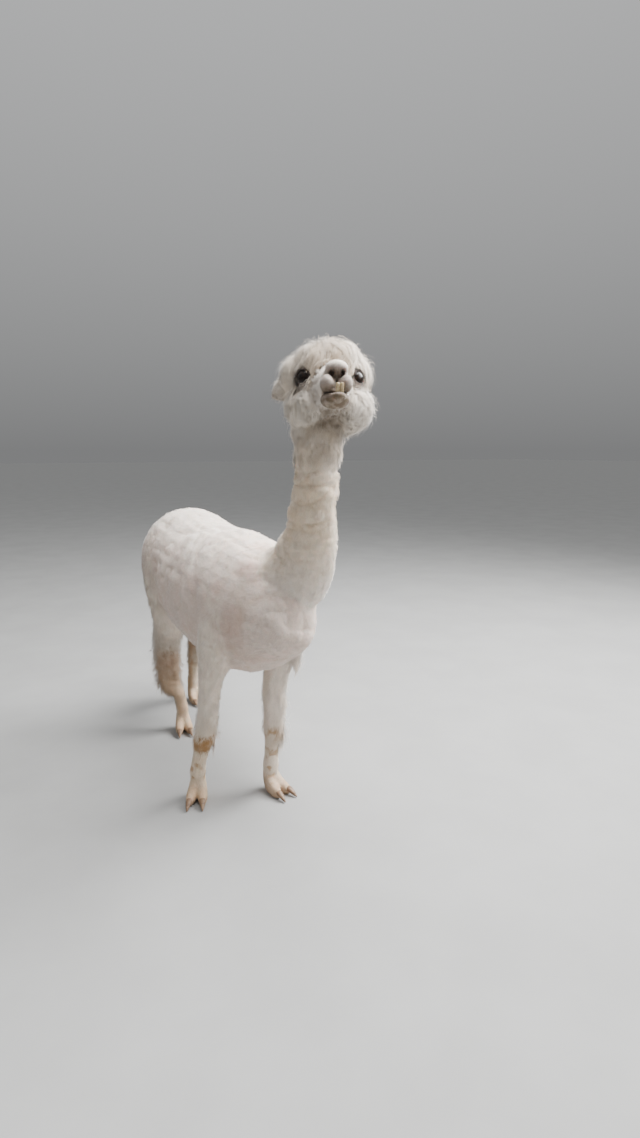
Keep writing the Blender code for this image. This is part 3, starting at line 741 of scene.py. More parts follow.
class Skin:
    """What the coat needs to know at each vertex of the skin."""

    def __init__(self, obj):
        self.mesh = obj.data
        self.points = coordinates(self.mesh)
        self.normals = normals(self.mesh)
        gaps, lies, depths = [], [], []
        ball_lies = {"face": face_lie(self.points)}
        ball_lies["crown"] = ball_lies["cheek"] = head_lie(self.points)
        for form in FORMS:
            if isinstance(form, Ball):
                gaps.append(form.measure(self.points))
                lies.append(ball_lies[form.kind])
                depths.append(np.full(len(self.points), form.depth))
            else:
                near, _, gap = form.measure(self.points)
                gaps.append(gap)
                lies.append(form.lie[near])
                depths.append(form.depth[near])
        gaps = np.array(gaps)
        share = np.exp(-np.abs(gaps) / 0.0035)
        share /= share.sum(0)
        self.share = {
            kind: share[[k for k, form in enumerate(FORMS) if form.kind == kind]].sum(0)
            for kind in KINDS
        }
        self.depth = (share * np.array(depths)).sum(0) + EAR_RISE * self.share["ear"]
        lie = np.einsum("fv,fvk->vk", share, np.array(lies))
        down = blend_in(np.abs(self.points[:, 0] - HIPS[0]), 0.05, 0.16) * 0.35
        lie[:, 2] -= down * (self.points[:, 2] < 1.0)
        parting = np.linalg.norm(from_head(self.points) - WHORL, axis=1)
        astray = 0.18 + 1.3 * np.exp(-((parting / 0.055) ** 2))
        swirl = np.array([noise(self.points, 0.04, seed) for seed in (3, 4, 5)]).T
        lie += astray[:, None] * swirl
        lie -= self.normals * (lie * self.normals).sum(1)[:, None]
        self.lie = unit(lie)
        self.tree = tree_of(self.points)

    def nearest(self, points):
        return nearest_in(self.tree, points)

    def scatter(self, density, rng):
        """Random roots, with density tufts for each square metre at every vertex."""
        self.mesh.calc_loop_triangles()
        corners = np.empty(len(self.mesh.loop_triangles) * 3, int)
        self.mesh.loop_triangles.foreach_get("vertices", corners)
        corners = corners.reshape(-1, 3)
        a, b, c = (self.points[corners[:, k]] for k in range(3))
        area = np.linalg.norm(np.cross(b - a, c - a), axis=1) / 2
        amount = area * density[corners].mean(1)
        total = int(amount.sum())
        chosen = np.searchsorted(np.cumsum(amount), np.sort(rng.random(total)) * amount.sum())
        chosen = np.minimum(chosen, len(corners) - 1)
        u, v = rng.random((2, total))
        flip = u + v > 1
        u[flip], v[flip] = 1 - u[flip], 1 - v[flip]
        u, v = u[:, None], v[:, None]
        return a[chosen] * (1 - u - v) + b[chosen] * u + c[chosen] * v


# ---------------------------------------------------------------- markings
def bump_at(value, middle, width):
    """1 at the middle, falling to 0 either side."""
    return np.exp(-(((value - middle) / width) ** 2))


class Marks(dict):
    """Shares of each tint at the skin's vertices. Where marks meet, the strongest one shows."""

    def add(self, **values):
        for name, value in values.items():
            self[name] = np.maximum(self.get(name, 0.0), value)


def mark_legs(skin, marks):
    """The tan bands, the stained shag and the bare strips of the legs, and the stained inner side of a
    hind leg, deepened with painted shade.
    """
    left, forward, up = from_hips(skin.points)
    out, ahead = skin.normals[:, 0], -skin.normals[:, 1]
    leg = skin.share["leg"] + skin.share["foot"]
    fore, hind, right = leg * (forward > LEGS_PART), leg * (forward < LEGS_PART), left < 0
    dirt = 0.5 + 0.5 * noise(skin.points, 0.025, 7)
    band = blend_in(up, 0.168, 0.178) * (1 - blend_in(up, 0.222, 0.236))
    marks.add(stain=fore * right * 1.1 * band * (0.8 + 0.3 * dirt))
    tuft = fore * ~right * bump_at(up, 0.215, 0.022)
    marks.add(stain=tuft * (0.10 + 0.85 * blend_in(dirt, 0.45, 0.75)))
    spots = fore * (1 - blend_in(up, 0.155, 0.175))
    marks.add(stain=0.75 * spots * blend_in(noise(skin.points, 0.016, 41), 0.30, 0.55))
    shag = hind * bump_at(up, 0.225, 0.085) * (1 - blend_in(ahead, 0.0, 0.6))
    inner = hind * ~right * blend_in(-out, 0.1, 0.7) * (1 - blend_in(up, 0.36, 0.50))
    marks.add(stain=shag * (0.25 + 0.7 * blend_in(dirt, 0.45, 0.85)))
    # brown stain on the inner side of the left hind leg, deepened with painted shade
    marks.add(stain=(0.30 + 0.35 * dirt) * inner, olive=0.65 * inner)
    toes = skin.share["foot"] * (1 - blend_in(up, 0.02, 0.11))
    marks.add(stain=toes * (0.32 + 0.40 * dirt), olive=0.25 * toes, pink=0.5 * toes)
    strip = hind * right * blend_in(ahead, 0.2, 0.7) * (1 - blend_in(up, 0.30, 0.38))
    marks.add(stain=0.35 * strip, pink=0.8 * strip)
    paler = np.where(right | (forward < LEGS_PART), 0.8, 0.45)
    marks.add(cream=leg * (1 - 0.7 * blend_in(up, 0.14, 0.30)) * paler)


def mark_body(skin, marks):
    """The cream neck, skin showing through the clipped sides, and painted shade on the sides, lower
    flank, rear and hind legs.
    """
    points, trunk = skin.points, skin.share["trunk"]
    _, forward, up = from_hips(points)
    neck = skin.share["neck"] * blend_in(up, 0.70, 0.92)
    marks.add(cream=neck * (0.75 + 0.25 * noise(points, 0.03, 1)))
    tint = blend_in(noise(points, 0.07, 9), -0.3, 0.6)
    marks.add(pink=trunk * blend_in(forward, 0.35, 0.72) * (0.35 + 0.65 * tint))
    # pink where the trunk faces sideways and down: partly skin showing through, partly painted shade
    sides = trunk * (1 - blend_in(skin.normals[:, 2], 0.25, 0.85))
    marks.add(pink=sides * (0.45 + 0.35 * tint))
    # painted shade: the trunk greyer towards its lower side; the noise adds grey patches at random
    # besides
    flank = trunk * (1 - blend_in(up, 0.45, 0.85))
    marks.add(grey=0.30 * flank + 0.25 * trunk * blend_in(noise(points, 0.09, 12), 0, 0.9))
    # painted shade over the rump's rear, the tail and the upper hind legs
    rear = trunk + skin.share["leg"] + skin.share["tail"]
    rear = rear * (1 - blend_in(forward, -0.08, 0.22)) * (1 - blend_in(up, 0.58, 0.88))
    marks.add(olive=0.55 * rear)


def mark_head(skin, marks):
    """The tan topknot, the grey muzzle, painted shade low on the snout, on the chin, under the jaw and
    on the throat, and painted light on the head's wool and the top of the nose.
    """
    on, face = from_head(skin.points), skin.share["face"]
    across, ahead, height = on.T
    head = from_hips(skin.points)[2] > COLLAR_HEIGHT
    throat = skin.share["throat"] * blend_in(ahead, -0.10, -0.02)
    # cream throat, with painted shade down its middle under the jaw
    marks.add(cream=0.7 * throat, olive=0.50 * throat * bump_at(across, 0.0, 0.06))
    topknot = bump_at(across, -0.006, 0.042) * bump_at(ahead, 0.020, 0.060)
    topknot *= bump_at(height, 0.052, 0.038) * head
    streaks = 0.62 + 0.38 * noise(on * (1, 0.5, 0.35), 0.011, 53)
    marks.add(stain=0.80 * topknot * streaks)
    crown = skin.share["crown"] * blend_in(ahead, -0.10, 0.01)
    marks.add(cream=crown * (0.35 + 0.45 * noise(skin.points, 0.022, 31)))
    chin = face * blend_in(-height, 0.098, 0.116) * (ahead > 0.03)
    # the muzzle's grey skin, faded out up the nose: its own colour, with the nose painted darker below
    # and lighter above as painted shade and light
    grey = face * blend_in(ahead, 0.085, 0.120) * (1 - chin)
    marks.add(grey=grey * (1 - 0.85 * blend_in(height, -0.040, -0.024)))
    # dark skin under the nose and along the lip lobes' lower edges, deepened with painted shade
    snout = head * blend_in(ahead, 0.070, 0.105)
    nose = bump_at(across, 0.0038, 0.026) * bump_at(height, -0.052, 0.014)
    lobes = bump_at(height, -0.088, 0.014)
    marks.add(olive=snout * np.maximum(0.85 * nose, 0.95 * lobes))
    # painted shade below the mouth line, over the chin
    marks.add(olive=head * (ahead > 0.03) * blend_in(-height, 0.092, 0.104))
    # painted shade under the jaw
    under = -height - 0.119 + 0.445 * (0.107 - ahead)
    jaw = bump_at(across, 0.002, 0.040) * blend_in(under, -0.014, 0.002) * head
    jaw *= (1 - 0.65 * blend_in(under, 0.020, 0.085)) * (ahead < 0.110)
    marks.add(olive=0.95 * jaw)
    # painted light on the top of the nose, and the head's wool painted lighter and creamier to make up
    # for the shade its locks cast on each other
    bright = snout * blend_in(height, -0.046, -0.030)
    marks.add(fluff=skin.share["crown"] + skin.share["cheek"] + bright)


def mark_openings(skin, marks):
    """The dark rims of the eyes, and painted shade in the nostrils, under the nose, in the split of the
    lip and along the mouth.
    """
    on = from_head(skin.points)
    across, forward, height = on.T
    for out in (1, -1):
        back, rise, ahead, away, _ = eye_angles(skin.points, out)
        ring = np.sqrt(eye_opening(back, rise))
        near = (ahead > 0) * (away < 0.036)
        marks.add(dark=0.95 * (1 - blend_in(ring, 1.20, 1.62)) * near)
        marks.add(grey=(1 - blend_in(ring, 1.6, 2.3)) * near)
        # painted shade in the nostrils and under the wings of the nose
        nostril = on - (NOSE_LEFT + out * NOSTRIL_SPREAD, 0.138, -0.0478)
        far = (nostril / (0.0068, 0.020, 0.0060)) ** 2
        marks.add(dark=2.0 * np.exp(-far.sum(1)))
        wing = on - (NOSE_LEFT + out * 0.0070, 0.142, -0.0545)
        far = (wing / (0.0075, 0.020, 0.0042)) ** 2
        marks.add(dark=1.1 * np.exp(-far.sum(1)))
    # painted shade in the split of the lip and along the mouth line
    split = bump_at(across, 0.0032, 0.0032) * bump_at(height, -0.064, 0.009)
    marks.add(dark=1.1 * split * (forward > 0.11))
    mouth = bump_at(height, mouth_line(on), 0.0030) * blend_in(forward, 0.075, 0.100)
    marks.add(dark=1.1 * mouth * (from_hips(skin.points)[2] > COLLAR_HEIGHT))


def markings(skin):
    """Shares of the coat's colours at each vertex of the skin."""
    marks = Marks()
    for mark in (mark_legs, mark_body, mark_head, mark_openings):
        mark(skin, marks)
    # painted shade in the valleys of the clipped fleece
    marks["valley_shade"] = clip_marks(skin.points)[1]
    return {name: np.clip(value, 0, 1) for name, value in marks.items()}


def set_attributes(mesh, values):
    for name, value in values.items():
        layer = mesh.attributes.new(name, "FLOAT", "POINT")
        layer.data.foreach_set("value", np.ascontiguousarray(value, np.float32))


# ---------------------------------------------------------------- locks of wool
class Coat:
    """Locks of one kind: their size in metres, and how they stand and come together."""

    def __init__(self, length, width, rise, wave, steps, stray, **more):
        self.length = length
        self.width = width  # from a lock's middle to its edge
        self.rise = rise  # how far the tips stand over the skin, as a share of the coat's depth
        self.wave = wave
        self.steps = steps
        self.stray = stray  # how far tufts leave the lie of the coat
        self.sag = more.get("sag", 0.0)
        self.crowd = more.get("crowd", 6)  # locks to a tuft
        self.gather = more.get("gather", 0.6)  # how far a tuft's tips come together
        self.arch = more.get("arch", 2.0)  # 1 stands straight out, 2 and more lies over
        self.loose = more.get("loose", 0.06)  # share of thin locks that go their own way
        # shadow also sets how far painted shade darkens the locks' roots
        self.shadow = more.get("shadow", 1.0)  # how far tufts and roots differ in tone


def comb(skin, roots, look, rng):
    """Paths of locks from their roots over the skin, and the way each point faces."""
    count = len(roots)
    leaders = rng.choice(count, max(1, count // look.crowd), replace=False)
    tuft = nearest_in(tree_of(roots[leaders]), roots)
    loose = rng.random(count) < look.loose
    loose[leaders] = False

    def vary(low, high, own):
        together = rng.uniform(low, high, len(leaders))[tuft]
        return together * rng.uniform(1 - own, 1 + own, count)

    length = look.length * vary(0.70, 1.15, 0.12) * (1 + 0.35 * loose)
    reach = look.rise * vary(0.45, 0.95, 0.12) * (1 + 0.6 * loose)
    drift = rng.normal(0, look.stray, (len(leaders), 3))[tuft]
    drift += rng.normal(0, look.stray * 0.4, (count, 3)) * (1 + 1.5 * loose)[:, None]
    phase = vary(0, math.tau, 0.1)[:, None]
    turns = vary(0.8, 1.6, 0.1)[:, None]
    near = skin.nearest(roots)
    first = near
    at = roots.copy()
    path, faces = [], []
    for k in range(look.steps + 1):
        s = k / look.steps
        normal = skin.normals[near]
        at = at - normal * ((at - skin.points[near]) * normal).sum(1)[:, None]
        lie = skin.lie[near] + drift
        lie = unit(lie - normal * (lie * normal).sum(1)[:, None])
        side = np.cross(normal, lie)
        depth = 0.5 * (skin.depth[first] + skin.depth[near])
        height = (depth * reach * (1 - (1 - s) ** look.arch))[:, None]
        curl = look.wave * math.sqrt(s) * np.sin(phase + turns * s * math.tau)
        bob = 0.5 * look.wave * s * np.cos(phase * 1.7 + turns * s * math.tau)
        path.append(at + normal * (height + bob) + side * curl - (0, 0, look.sag * s * s))
        faces.append(normal)
        at = at + lie * (length / look.steps)[:, None]
        near = skin.nearest(at) if k < look.steps else near
    path = np.array(path).transpose(1, 0, 2)
    along = (np.arange(look.steps + 1) / look.steps)[None, :, None]
    gather = look.gather * np.where(loose, 0.0, 1.0)[:, None, None] * along**1.4
    path = path + gather * (path[leaders[tuft]] - path)
    width = look.width * rng.uniform(0.7, 1.25, count) * (1 - 0.4 * loose)
    return path, np.array(faces).transpose(1, 0, 2), first, width, rng.uniform(0, 1, len(leaders))[tuft]


def lock_mesh(name, path, faces, width, look, unwrapped, values):
    """Joined three-sided locks with the OFBake map and the values their roots carry."""
    count, rings = path.shape[:2]
    tangent = unit(np.gradient(path, axis=1))
    side = unit(np.cross(tangent, faces))
    top = np.cross(side, tangent)
    s = np.arange(rings) / (rings - 1)
    taper = np.interp(s, (0, 0.35, 0.75, 1), (0.6, 1.0, 0.62, 0.10))
    wide = width[:, None, None] * taper[None, :, None]
    corners = ((-1.0, -0.35), (1.0, -0.35), (0.0, 0.65))
    around = np.stack([side * x + top * y * LOCK_FLATNESS for x, y in corners], axis=2)
    points = path[:, :, None] + around * wide[:, :, None]
    shading = unit(faces[:, :, None] * SOFT_SHADING + unit(around) * (1 - SOFT_SHADING))
    points = points.reshape(-1, 3)
    index = np.arange(count * rings * 3).reshape(count, rings, 3)
    following = np.roll(index, -1, axis=2)
    quads = np.stack([index[:, :-1], index[:, 1:], following[:, 1:], following[:, :-1]], axis=-1)
    quads = quads.reshape(-1, 4)
    ends = np.concatenate([index[:, 0], index[:, -1, ::-1]])
    mesh = bpy.data.meshes.new(name)
    loops = np.concatenate([quads.ravel(), ends.ravel()])
    mesh.vertices.add(len(points))
    mesh.vertices.foreach_set("co", points.ravel())
    mesh.loops.add(len(loops))
    mesh.loops.foreach_set("vertex_index", loops.astype(np.int32))
    mesh.polygons.add(len(quads) + len(ends))
    starts = np.concatenate([np.arange(len(quads)) * 4, len(quads) * 4 + np.arange(len(ends)) * 3])
    mesh.polygons.foreach_set("loop_start", starts.astype(np.int32))
    mesh.update(calc_edges=True)
    mesh.validate()

    lock = loops // (rings * 3)
    ring = loops // 3 % rings
    corner = loops % 3
    u = unwrapped[lock, 0] + (corner / 3 - 1 / 3) * MAP_PATCH
    v = unwrapped[lock, 1] + (ring / (rings - 1) - 0.5) * MAP_PATCH
    layer = mesh.uv_layers.new(name="OFBake")
    layer.data.foreach_set("uv", np.stack([u, v], axis=1).ravel().astype(np.float32))

    spread = {key: np.repeat(value, rings * 3) for key, value in values.items()}
    # lighter towards each lock's tip, for the painted shade at its root
    spread["tip"] = np.tile(np.repeat(1 - (1 - s) * look.shadow, 3), count)
    set_attributes(mesh, spread)
    mesh.shade_smooth()
    mesh.normals_split_custom_set_from_vertices(shading.reshape(-1, 3))
    return linked(name, mesh)


def unwrap(roots, kinds):
    """Roots on an unwrap of the skin's own forms, one column of the map for each form."""
    forms = [form for form in FORMS if form.kind in kinds]
    gaps, places = [], []
    for form in forms:
        if isinstance(form, Ball):
            offset = unit(from_head(roots) - form.middle)
            gap = form.measure(roots)
            turn = np.arctan2(offset[:, 0], offset[:, 1])
            level = np.arccos(np.clip(offset[:, 2], -1, 1)) / math.pi
        else:
            ring, turn, gap = form.measure(roots)
            offset = roots - form.middle[ring]
            step = np.linalg.norm(form.middle[1] - form.middle[0]) + 1e-6
            along = ring + np.clip((offset * form.tangent[ring]).sum(1) / step, -0.5, 0.5)
            level = (along + 0.5) / len(form.middle)
        gaps.append(gap)
        places.append(np.stack([turn / math.tau + 0.5, level], axis=1))
    best = np.argmin(np.abs(np.array(gaps)), axis=0)
    there = np.array(places)[best, np.arange(len(roots))]
    u = (best + 0.01 + 0.98 * there[:, 0]) / len(forms)
    return np.stack([u, 0.005 + 0.99 * there[:, 1]], axis=1)


def crosses_eyes(path):
    """Which locks hang in front of an eye's opening."""
    points = path.reshape(-1, 3)
    hides = np.zeros(len(points), bool)
    for out in (1, -1):
        back, up, ahead, away, _ = eye_angles(points, out)
        hides |= (eye_opening(back, up) < 1.75) & (ahead > 0) & (away < 0.075)
    return hides.reshape(path.shape[:2]).any(axis=1)


def grow(name, skin, marks, kinds, density, look, rng):
    """Locks over the parts of the skin of those kinds."""
    roots = skin.scatter(density, rng)
    path, faces, near, width, shade = comb(skin, roots, look, rng)
    kept = ~crosses_eyes(path)
    roots, path, faces, near = roots[kept], path[kept], faces[kept], near[kept]
    width, shade = width[kept], shade[kept]
    values = {key: value[near] for key, value in marks.items()}
    values["shade"] = shade * look.shadow
    made = lock_mesh(name, path, faces, width, look, unwrap(roots, kinds), values)
    triangles = sum(len(polygon.vertices) - 2 for polygon in made.data.polygons)
    print("COAT", name, len(roots), "locks", triangles, "triangles")
    return made


def opening(points):
    """1 where the eyes, nostrils and mouth need the skin bare."""
    on = from_head(points)
    bare = np.zeros(len(points))
    for out in (1, -1):
        back, up, ahead, away, _ = eye_angles(points, out)
        bare = np.maximum(bare, (eye_opening(back, up) < 2.1) & (ahead > 0) & (away < 0.036))
    nose = (on[:, 1] > 0.128) & (on[:, 2] > -0.066) & (on[:, 2] < -0.038) & (np.abs(on[:, 0]) < 0.026)
    lips = (on[:, 1] > 0.075) & (np.abs(on[:, 2] - mouth_line(on)) < 0.0035)
    return np.maximum(bare, nose | lips)


# ---------------------------------------------------------------- materials
class Nodes:
    """A material's node tree, with short ways to add to it."""

    def __init__(self, name):
        self.material = bpy.data.materials.new(name)
        self.material.use_nodes = True
        self.tree = self.material.node_tree
        self.shader = self.tree.nodes["Principled BSDF"]
        self.where = self.add("ShaderNodeTexCoord").outputs["Object"]

    def add(self, kind, **settings):
        node = self.tree.nodes.new(kind)
        for key, value in settings.items():
            setattr(node, key, value)
        return node

    def feed(self, node, given):
        """Sets a node's sockets, by name or number, to numbers or colours, or links them."""
        for key, source in given.items():
            if isinstance(source, (int, float)):
                node.inputs[key].default_value = source
            elif isinstance(source, tuple):
                node.inputs[key].default_value = (*source, 1.0)
            else:
                self.tree.links.new(source, node.inputs[key])
        return node

    def value(self, name):
        return self.add("ShaderNodeAttribute", attribute_name=name).outputs["Fac"]

    def noise(self, scale, detail=3.0, roughness=0.6, stretch=None):
        where = self.where
        if stretch:
            mapping = self.feed(self.add("ShaderNodeMapping"), {"Vector": where})
            mapping.inputs["Scale"].default_value = stretch
            where = mapping.outputs["Vector"]
        given = {"Vector": where, "Scale": scale, "Detail": detail, "Roughness": roughness}
        return self.feed(self.add("ShaderNodeTexNoise"), given).outputs["Fac"]

    def times(self, a, b):
        node = self.add("ShaderNodeMath", operation="MULTIPLY", use_clamp=True)
        return self.feed(node, {0: a, 1: b}).outputs[0]

    def ramp(self, source, low, high, out_low=0.0, out_high=1.0):
        node = self.add("ShaderNodeMapRange", interpolation_type="SMOOTHSTEP")
        return self.feed(node, {0: source, 1: low, 2: high, 3: out_low, 4: out_high}).outputs[0]

    def mix(self, share, a, b, how="MIX"):
        node = self.add("ShaderNodeMix", data_type="RGBA", blend_type=how)
        return self.feed(node, {0: share, 6: a, 7: b}).outputs[2]

    def mottled(self, grain, one, other, low=0.3, high=0.7):
        return self.mix(self.ramp(grain, low, high), one, other)

    def bump(self, height, strength, distance, under=None):
        given = {"Height": height, "Strength": strength, "Distance": distance}
        if under:
            given["Normal"] = under
        return self.feed(self.add("ShaderNodeBump"), given).outputs["Normal"]

    def finish(self, colour, roughness, normal=None, **fixed):
        given = {"Base Color": colour, "Roughness": roughness}
        given |= {name.replace("_", " "): value for name, value in fixed.items()}
        if normal:
            given["Normal"] = normal
        self.feed(self.shader, given)
        return self.material


# Colours of the coat. The last four darken what they are multiplied with.
WHITE = (0.89, 0.80, 0.71)
OFF_WHITE = (0.78, 0.69, 0.60)
# painted light: a lighter cream for the head's wool and the top of the nose
PAINTED_LIGHT = (0.97, 0.885, 0.775)
CREAM = (0.80, 0.64, 0.46)
STAIN = (0.43, 0.24, 0.10)
PINK = (0.74, 0.555, 0.475)
GREY = (0.48, 0.41, 0.37)
# stains on the legs and feet, and painted shade on the rear, snout, chin, jaw and throat
OLIVE = (0.17, 0.125, 0.08)
# dark eye rims, and painted shade in the nostrils, the lip's split and the mouth
DARK = (0.050, 0.036, 0.029)
# painted shade for the valleys of the clipped fleece
VALLEY_SHADE = (0.80, 0.72, 0.63)
FIBRE = (0.45, 0.38, 0.33)
# painted shade at the locks' roots
ROOT_SHADE = (0.78, 0.66, 0.52)
TUFT = (0.86, 0.76, 0.62)


def coat_colour(nodes):
    """The markings, painted light and shade among them, alike on skin and coat."""
    colour = nodes.mottled(nodes.noise(22.0, 4.0), WHITE, OFF_WHITE, 0.35, 0.65)
    for name, tint, scale in (
        ("fluff", PAINTED_LIGHT, 20.0),
        ("pink", PINK, 30.0),
        ("cream", CREAM, 40.0),
        ("grey", GREY, 35.0),
        ("olive", OLIVE, 60.0),
        ("stain", STAIN, 55.0),
    ):
        breakup = nodes.ramp(nodes.noise(scale, 5.0), 0.30, 0.60, 0.70, 1.0)
        colour = nodes.mix(nodes.times(nodes.value(name), breakup), colour, tint)
    # painted shade in the valleys of the clipped fleece
    colour = nodes.mix(nodes.value("valley_shade"), colour, VALLEY_SHADE, "MULTIPLY")
    return nodes.mix(nodes.value("dark"), colour, DARK)


def skin_material():
    nodes = Nodes("alpaca_skin")
    colour = coat_colour(nodes)
    fibre = nodes.noise(420.0, 3.0, 0.7)
    colour = nodes.mix(nodes.ramp(fibre, 0.3, 0.7, 0.0, 0.35), colour, FIBRE, "MULTIPLY")
    clumps = nodes.bump(nodes.noise(90.0, 5.0, 0.65), 0.55, 0.004)
    normal = nodes.bump(fibre, 0.5, 0.0012, clumps)
    return nodes.finish(colour, 0.85, normal, Subsurface_Weight=0.12, Subsurface_Scale=0.006)


def wool_material():
    nodes = Nodes("alpaca_wool")
    colour = coat_colour(nodes)
    # painted shade towards the locks' roots
    root = nodes.ramp(nodes.value("tip"), 0.0, 0.65, 0.15, 0.0)
    colour = nodes.mix(root, colour, ROOT_SHADE, "MULTIPLY")
    shade = nodes.ramp(nodes.value("shade"), 0.0, 1.0, 0.0, 0.36)
    colour = nodes.mix(shade, colour, TUFT, "MULTIPLY")
    normal = nodes.bump(nodes.noise(650.0, 2.0, 0.6), 0.35, 0.0008)
    return nodes.finish(colour, 0.8, normal, Sheen_Weight=0.45, Sheen_Roughness=0.4)


def eye_material():
    nodes = Nodes("alpaca_eye")
    streaks = nodes.noise(160.0, 4.0)
    colour = nodes.mottled(streaks, (0.008, 0.005, 0.004), (0.022, 0.012, 0.007), 0.35)
    colour = nodes.mix(nodes.value("dark"), colour, (0.003, 0.003, 0.003))
    return nodes.finish(colour, 0.20, None, Specular_IOR_Level=0.22)


def nail_material():
    nodes = Nodes("alpaca_toenail")
    streaks = nodes.noise(60.0, 5.0, 0.6, (1.0, 1.0, 6.0))
    colour = nodes.mottled(streaks, (0.12, 0.065, 0.035), (0.27, 0.17, 0.10))
    normal = nodes.bump(nodes.noise(220.0, 4.0, 0.6), 0.4, 0.0012)
    return nodes.finish(colour, 0.5, normal)


def tooth_material():
    nodes = Nodes("alpaca_tooth")
    colour = nodes.mottled(nodes.noise(180.0, 4.0), (0.58, 0.47, 0.29), (0.36, 0.25, 0.12))
    normal = nodes.bump(nodes.noise(500.0, 3.0), 0.2, 0.0006)
    return nodes.finish(colour, 0.32, normal, Subsurface_Weight=0.1, Subsurface_Scale=0.002)


def lash_material():
    nodes = Nodes("alpaca_lash")
    colour = nodes.mottled(nodes.noise(300.0, 3.0), (0.05, 0.035, 0.03), (0.16, 0.12, 0.10))
    return nodes.finish(colour, 0.6)


def floor_material():
    nodes = Nodes("studio_floor")
    colour = nodes.mottled(nodes.noise(3.0, 4.0), (0.30, 0.30, 0.295), (0.325, 0.325, 0.32))
    return nodes.finish(colour, 0.9)


# ---------------------------------------------------------------- small pieces
def eye_piece(name, out):
    """An eyeball, with its pupil marked."""
    ball = Ball("eye", EYE_MIDDLES[out], (EYE_RADIUS,) * 3, 0.0)
    made = mesh_object(name, [ball.mesh(48)])
    back, up, ahead, _, _ = eye_angles(coordinates(made.data), out)
    pupil = (1 - blend_in((back / 0.0062) ** 2 + (up / 0.0030) ** 2, 0.8, 1.2)) * (ahead > 0)
    set_attributes(made.data, {"dark": pupil})
    return made


def nail_pieces(leg):
    """A foot's two nails, and the nodes that they stand for."""
    for side, letter in ((1, "a"), (-1, "b")):
        node = f"toenail_{leg}_{letter}"
        loft = toe_loft(leg, side, TOENAIL, 0.0002, 5)
        yield mesh_object(f"alpaca_{node}", [loft.mesh(20)]), node


def teeth_piece():
    """The two incisors, with their edges rounded over."""
    lofts = []
    for left in INCISORS:
        rows = [(row[0] + left, row[1], row[2], 0.96 * row[3], *row[4:]) for row in INCISOR[:-1]]
        rows.append((left, 0.1525, -0.0785, 0.0043, 0.0022, 0.0022))
        rows.append((left, 0.1530, -0.0762, 0.0024, 0.0014, 0.0014))
        lofts.append(Loft("tooth", rows, on_head, HEAD_TURNED @ (1, 0, 0), 0.0002, 5, 2.4))
    return mesh_object("alpaca_teeth", [loft.mesh(18) for loft in lofts])


def lashes_piece(name, out):
    """A fringe of tapered lashes along the edge of the upper lid."""
    facing, rear, above = eye_axes(out)
    corner, high, _ = EYE_OPENING
    tubes = []
    for k, turn in enumerate(np.linspace(math.radians(8), math.radians(172), 34)):
        edge = rear * math.cos(turn) * corner + above * math.sin(turn) * high
        outward = unit(edge + facing * 0.016)
        start = unit(edge + facing * 0.0155) * (EYE_RADIUS + 0.0006)
        reach = 0.0085 + 0.0025 * math.sin(k * 2.3)
        sweep = rear * (0.35 + 0.25 * math.sin(k * 1.7)) + above * 0.15 * math.cos(k * 3.1)
        rings = []
        for s in np.linspace(0, 1, 5):
            middle = start + (outward + sweep * s - above * 0.45 * s * s) * reach * s
            half = 0.00050 * (1 - 0.85 * s)
            sides = [rear * half, above * half, -rear * half, -above * half]
            rings.append([middle + side for side in sides])
        tubes.append(tube(on_head(np.array(rings) + EYE_MIDDLES[out])))
    return mesh_object(name, tubes)


def show(obj, material, *nodes):
    """Gives a piece its material and rides it on the one body, in place of those nodes."""
    obj.data.materials.append(material)
    obj.data.shade_smooth()
    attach(obj, "root")
    if nodes:
        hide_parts(*nodes)


# ---------------------------------------------------------------- coats
CLIPPED = Coat(0.010, 0.0008, 0.70, 0.0006, 2, 0.30, crowd=9, gather=0.4, shadow=0.25)


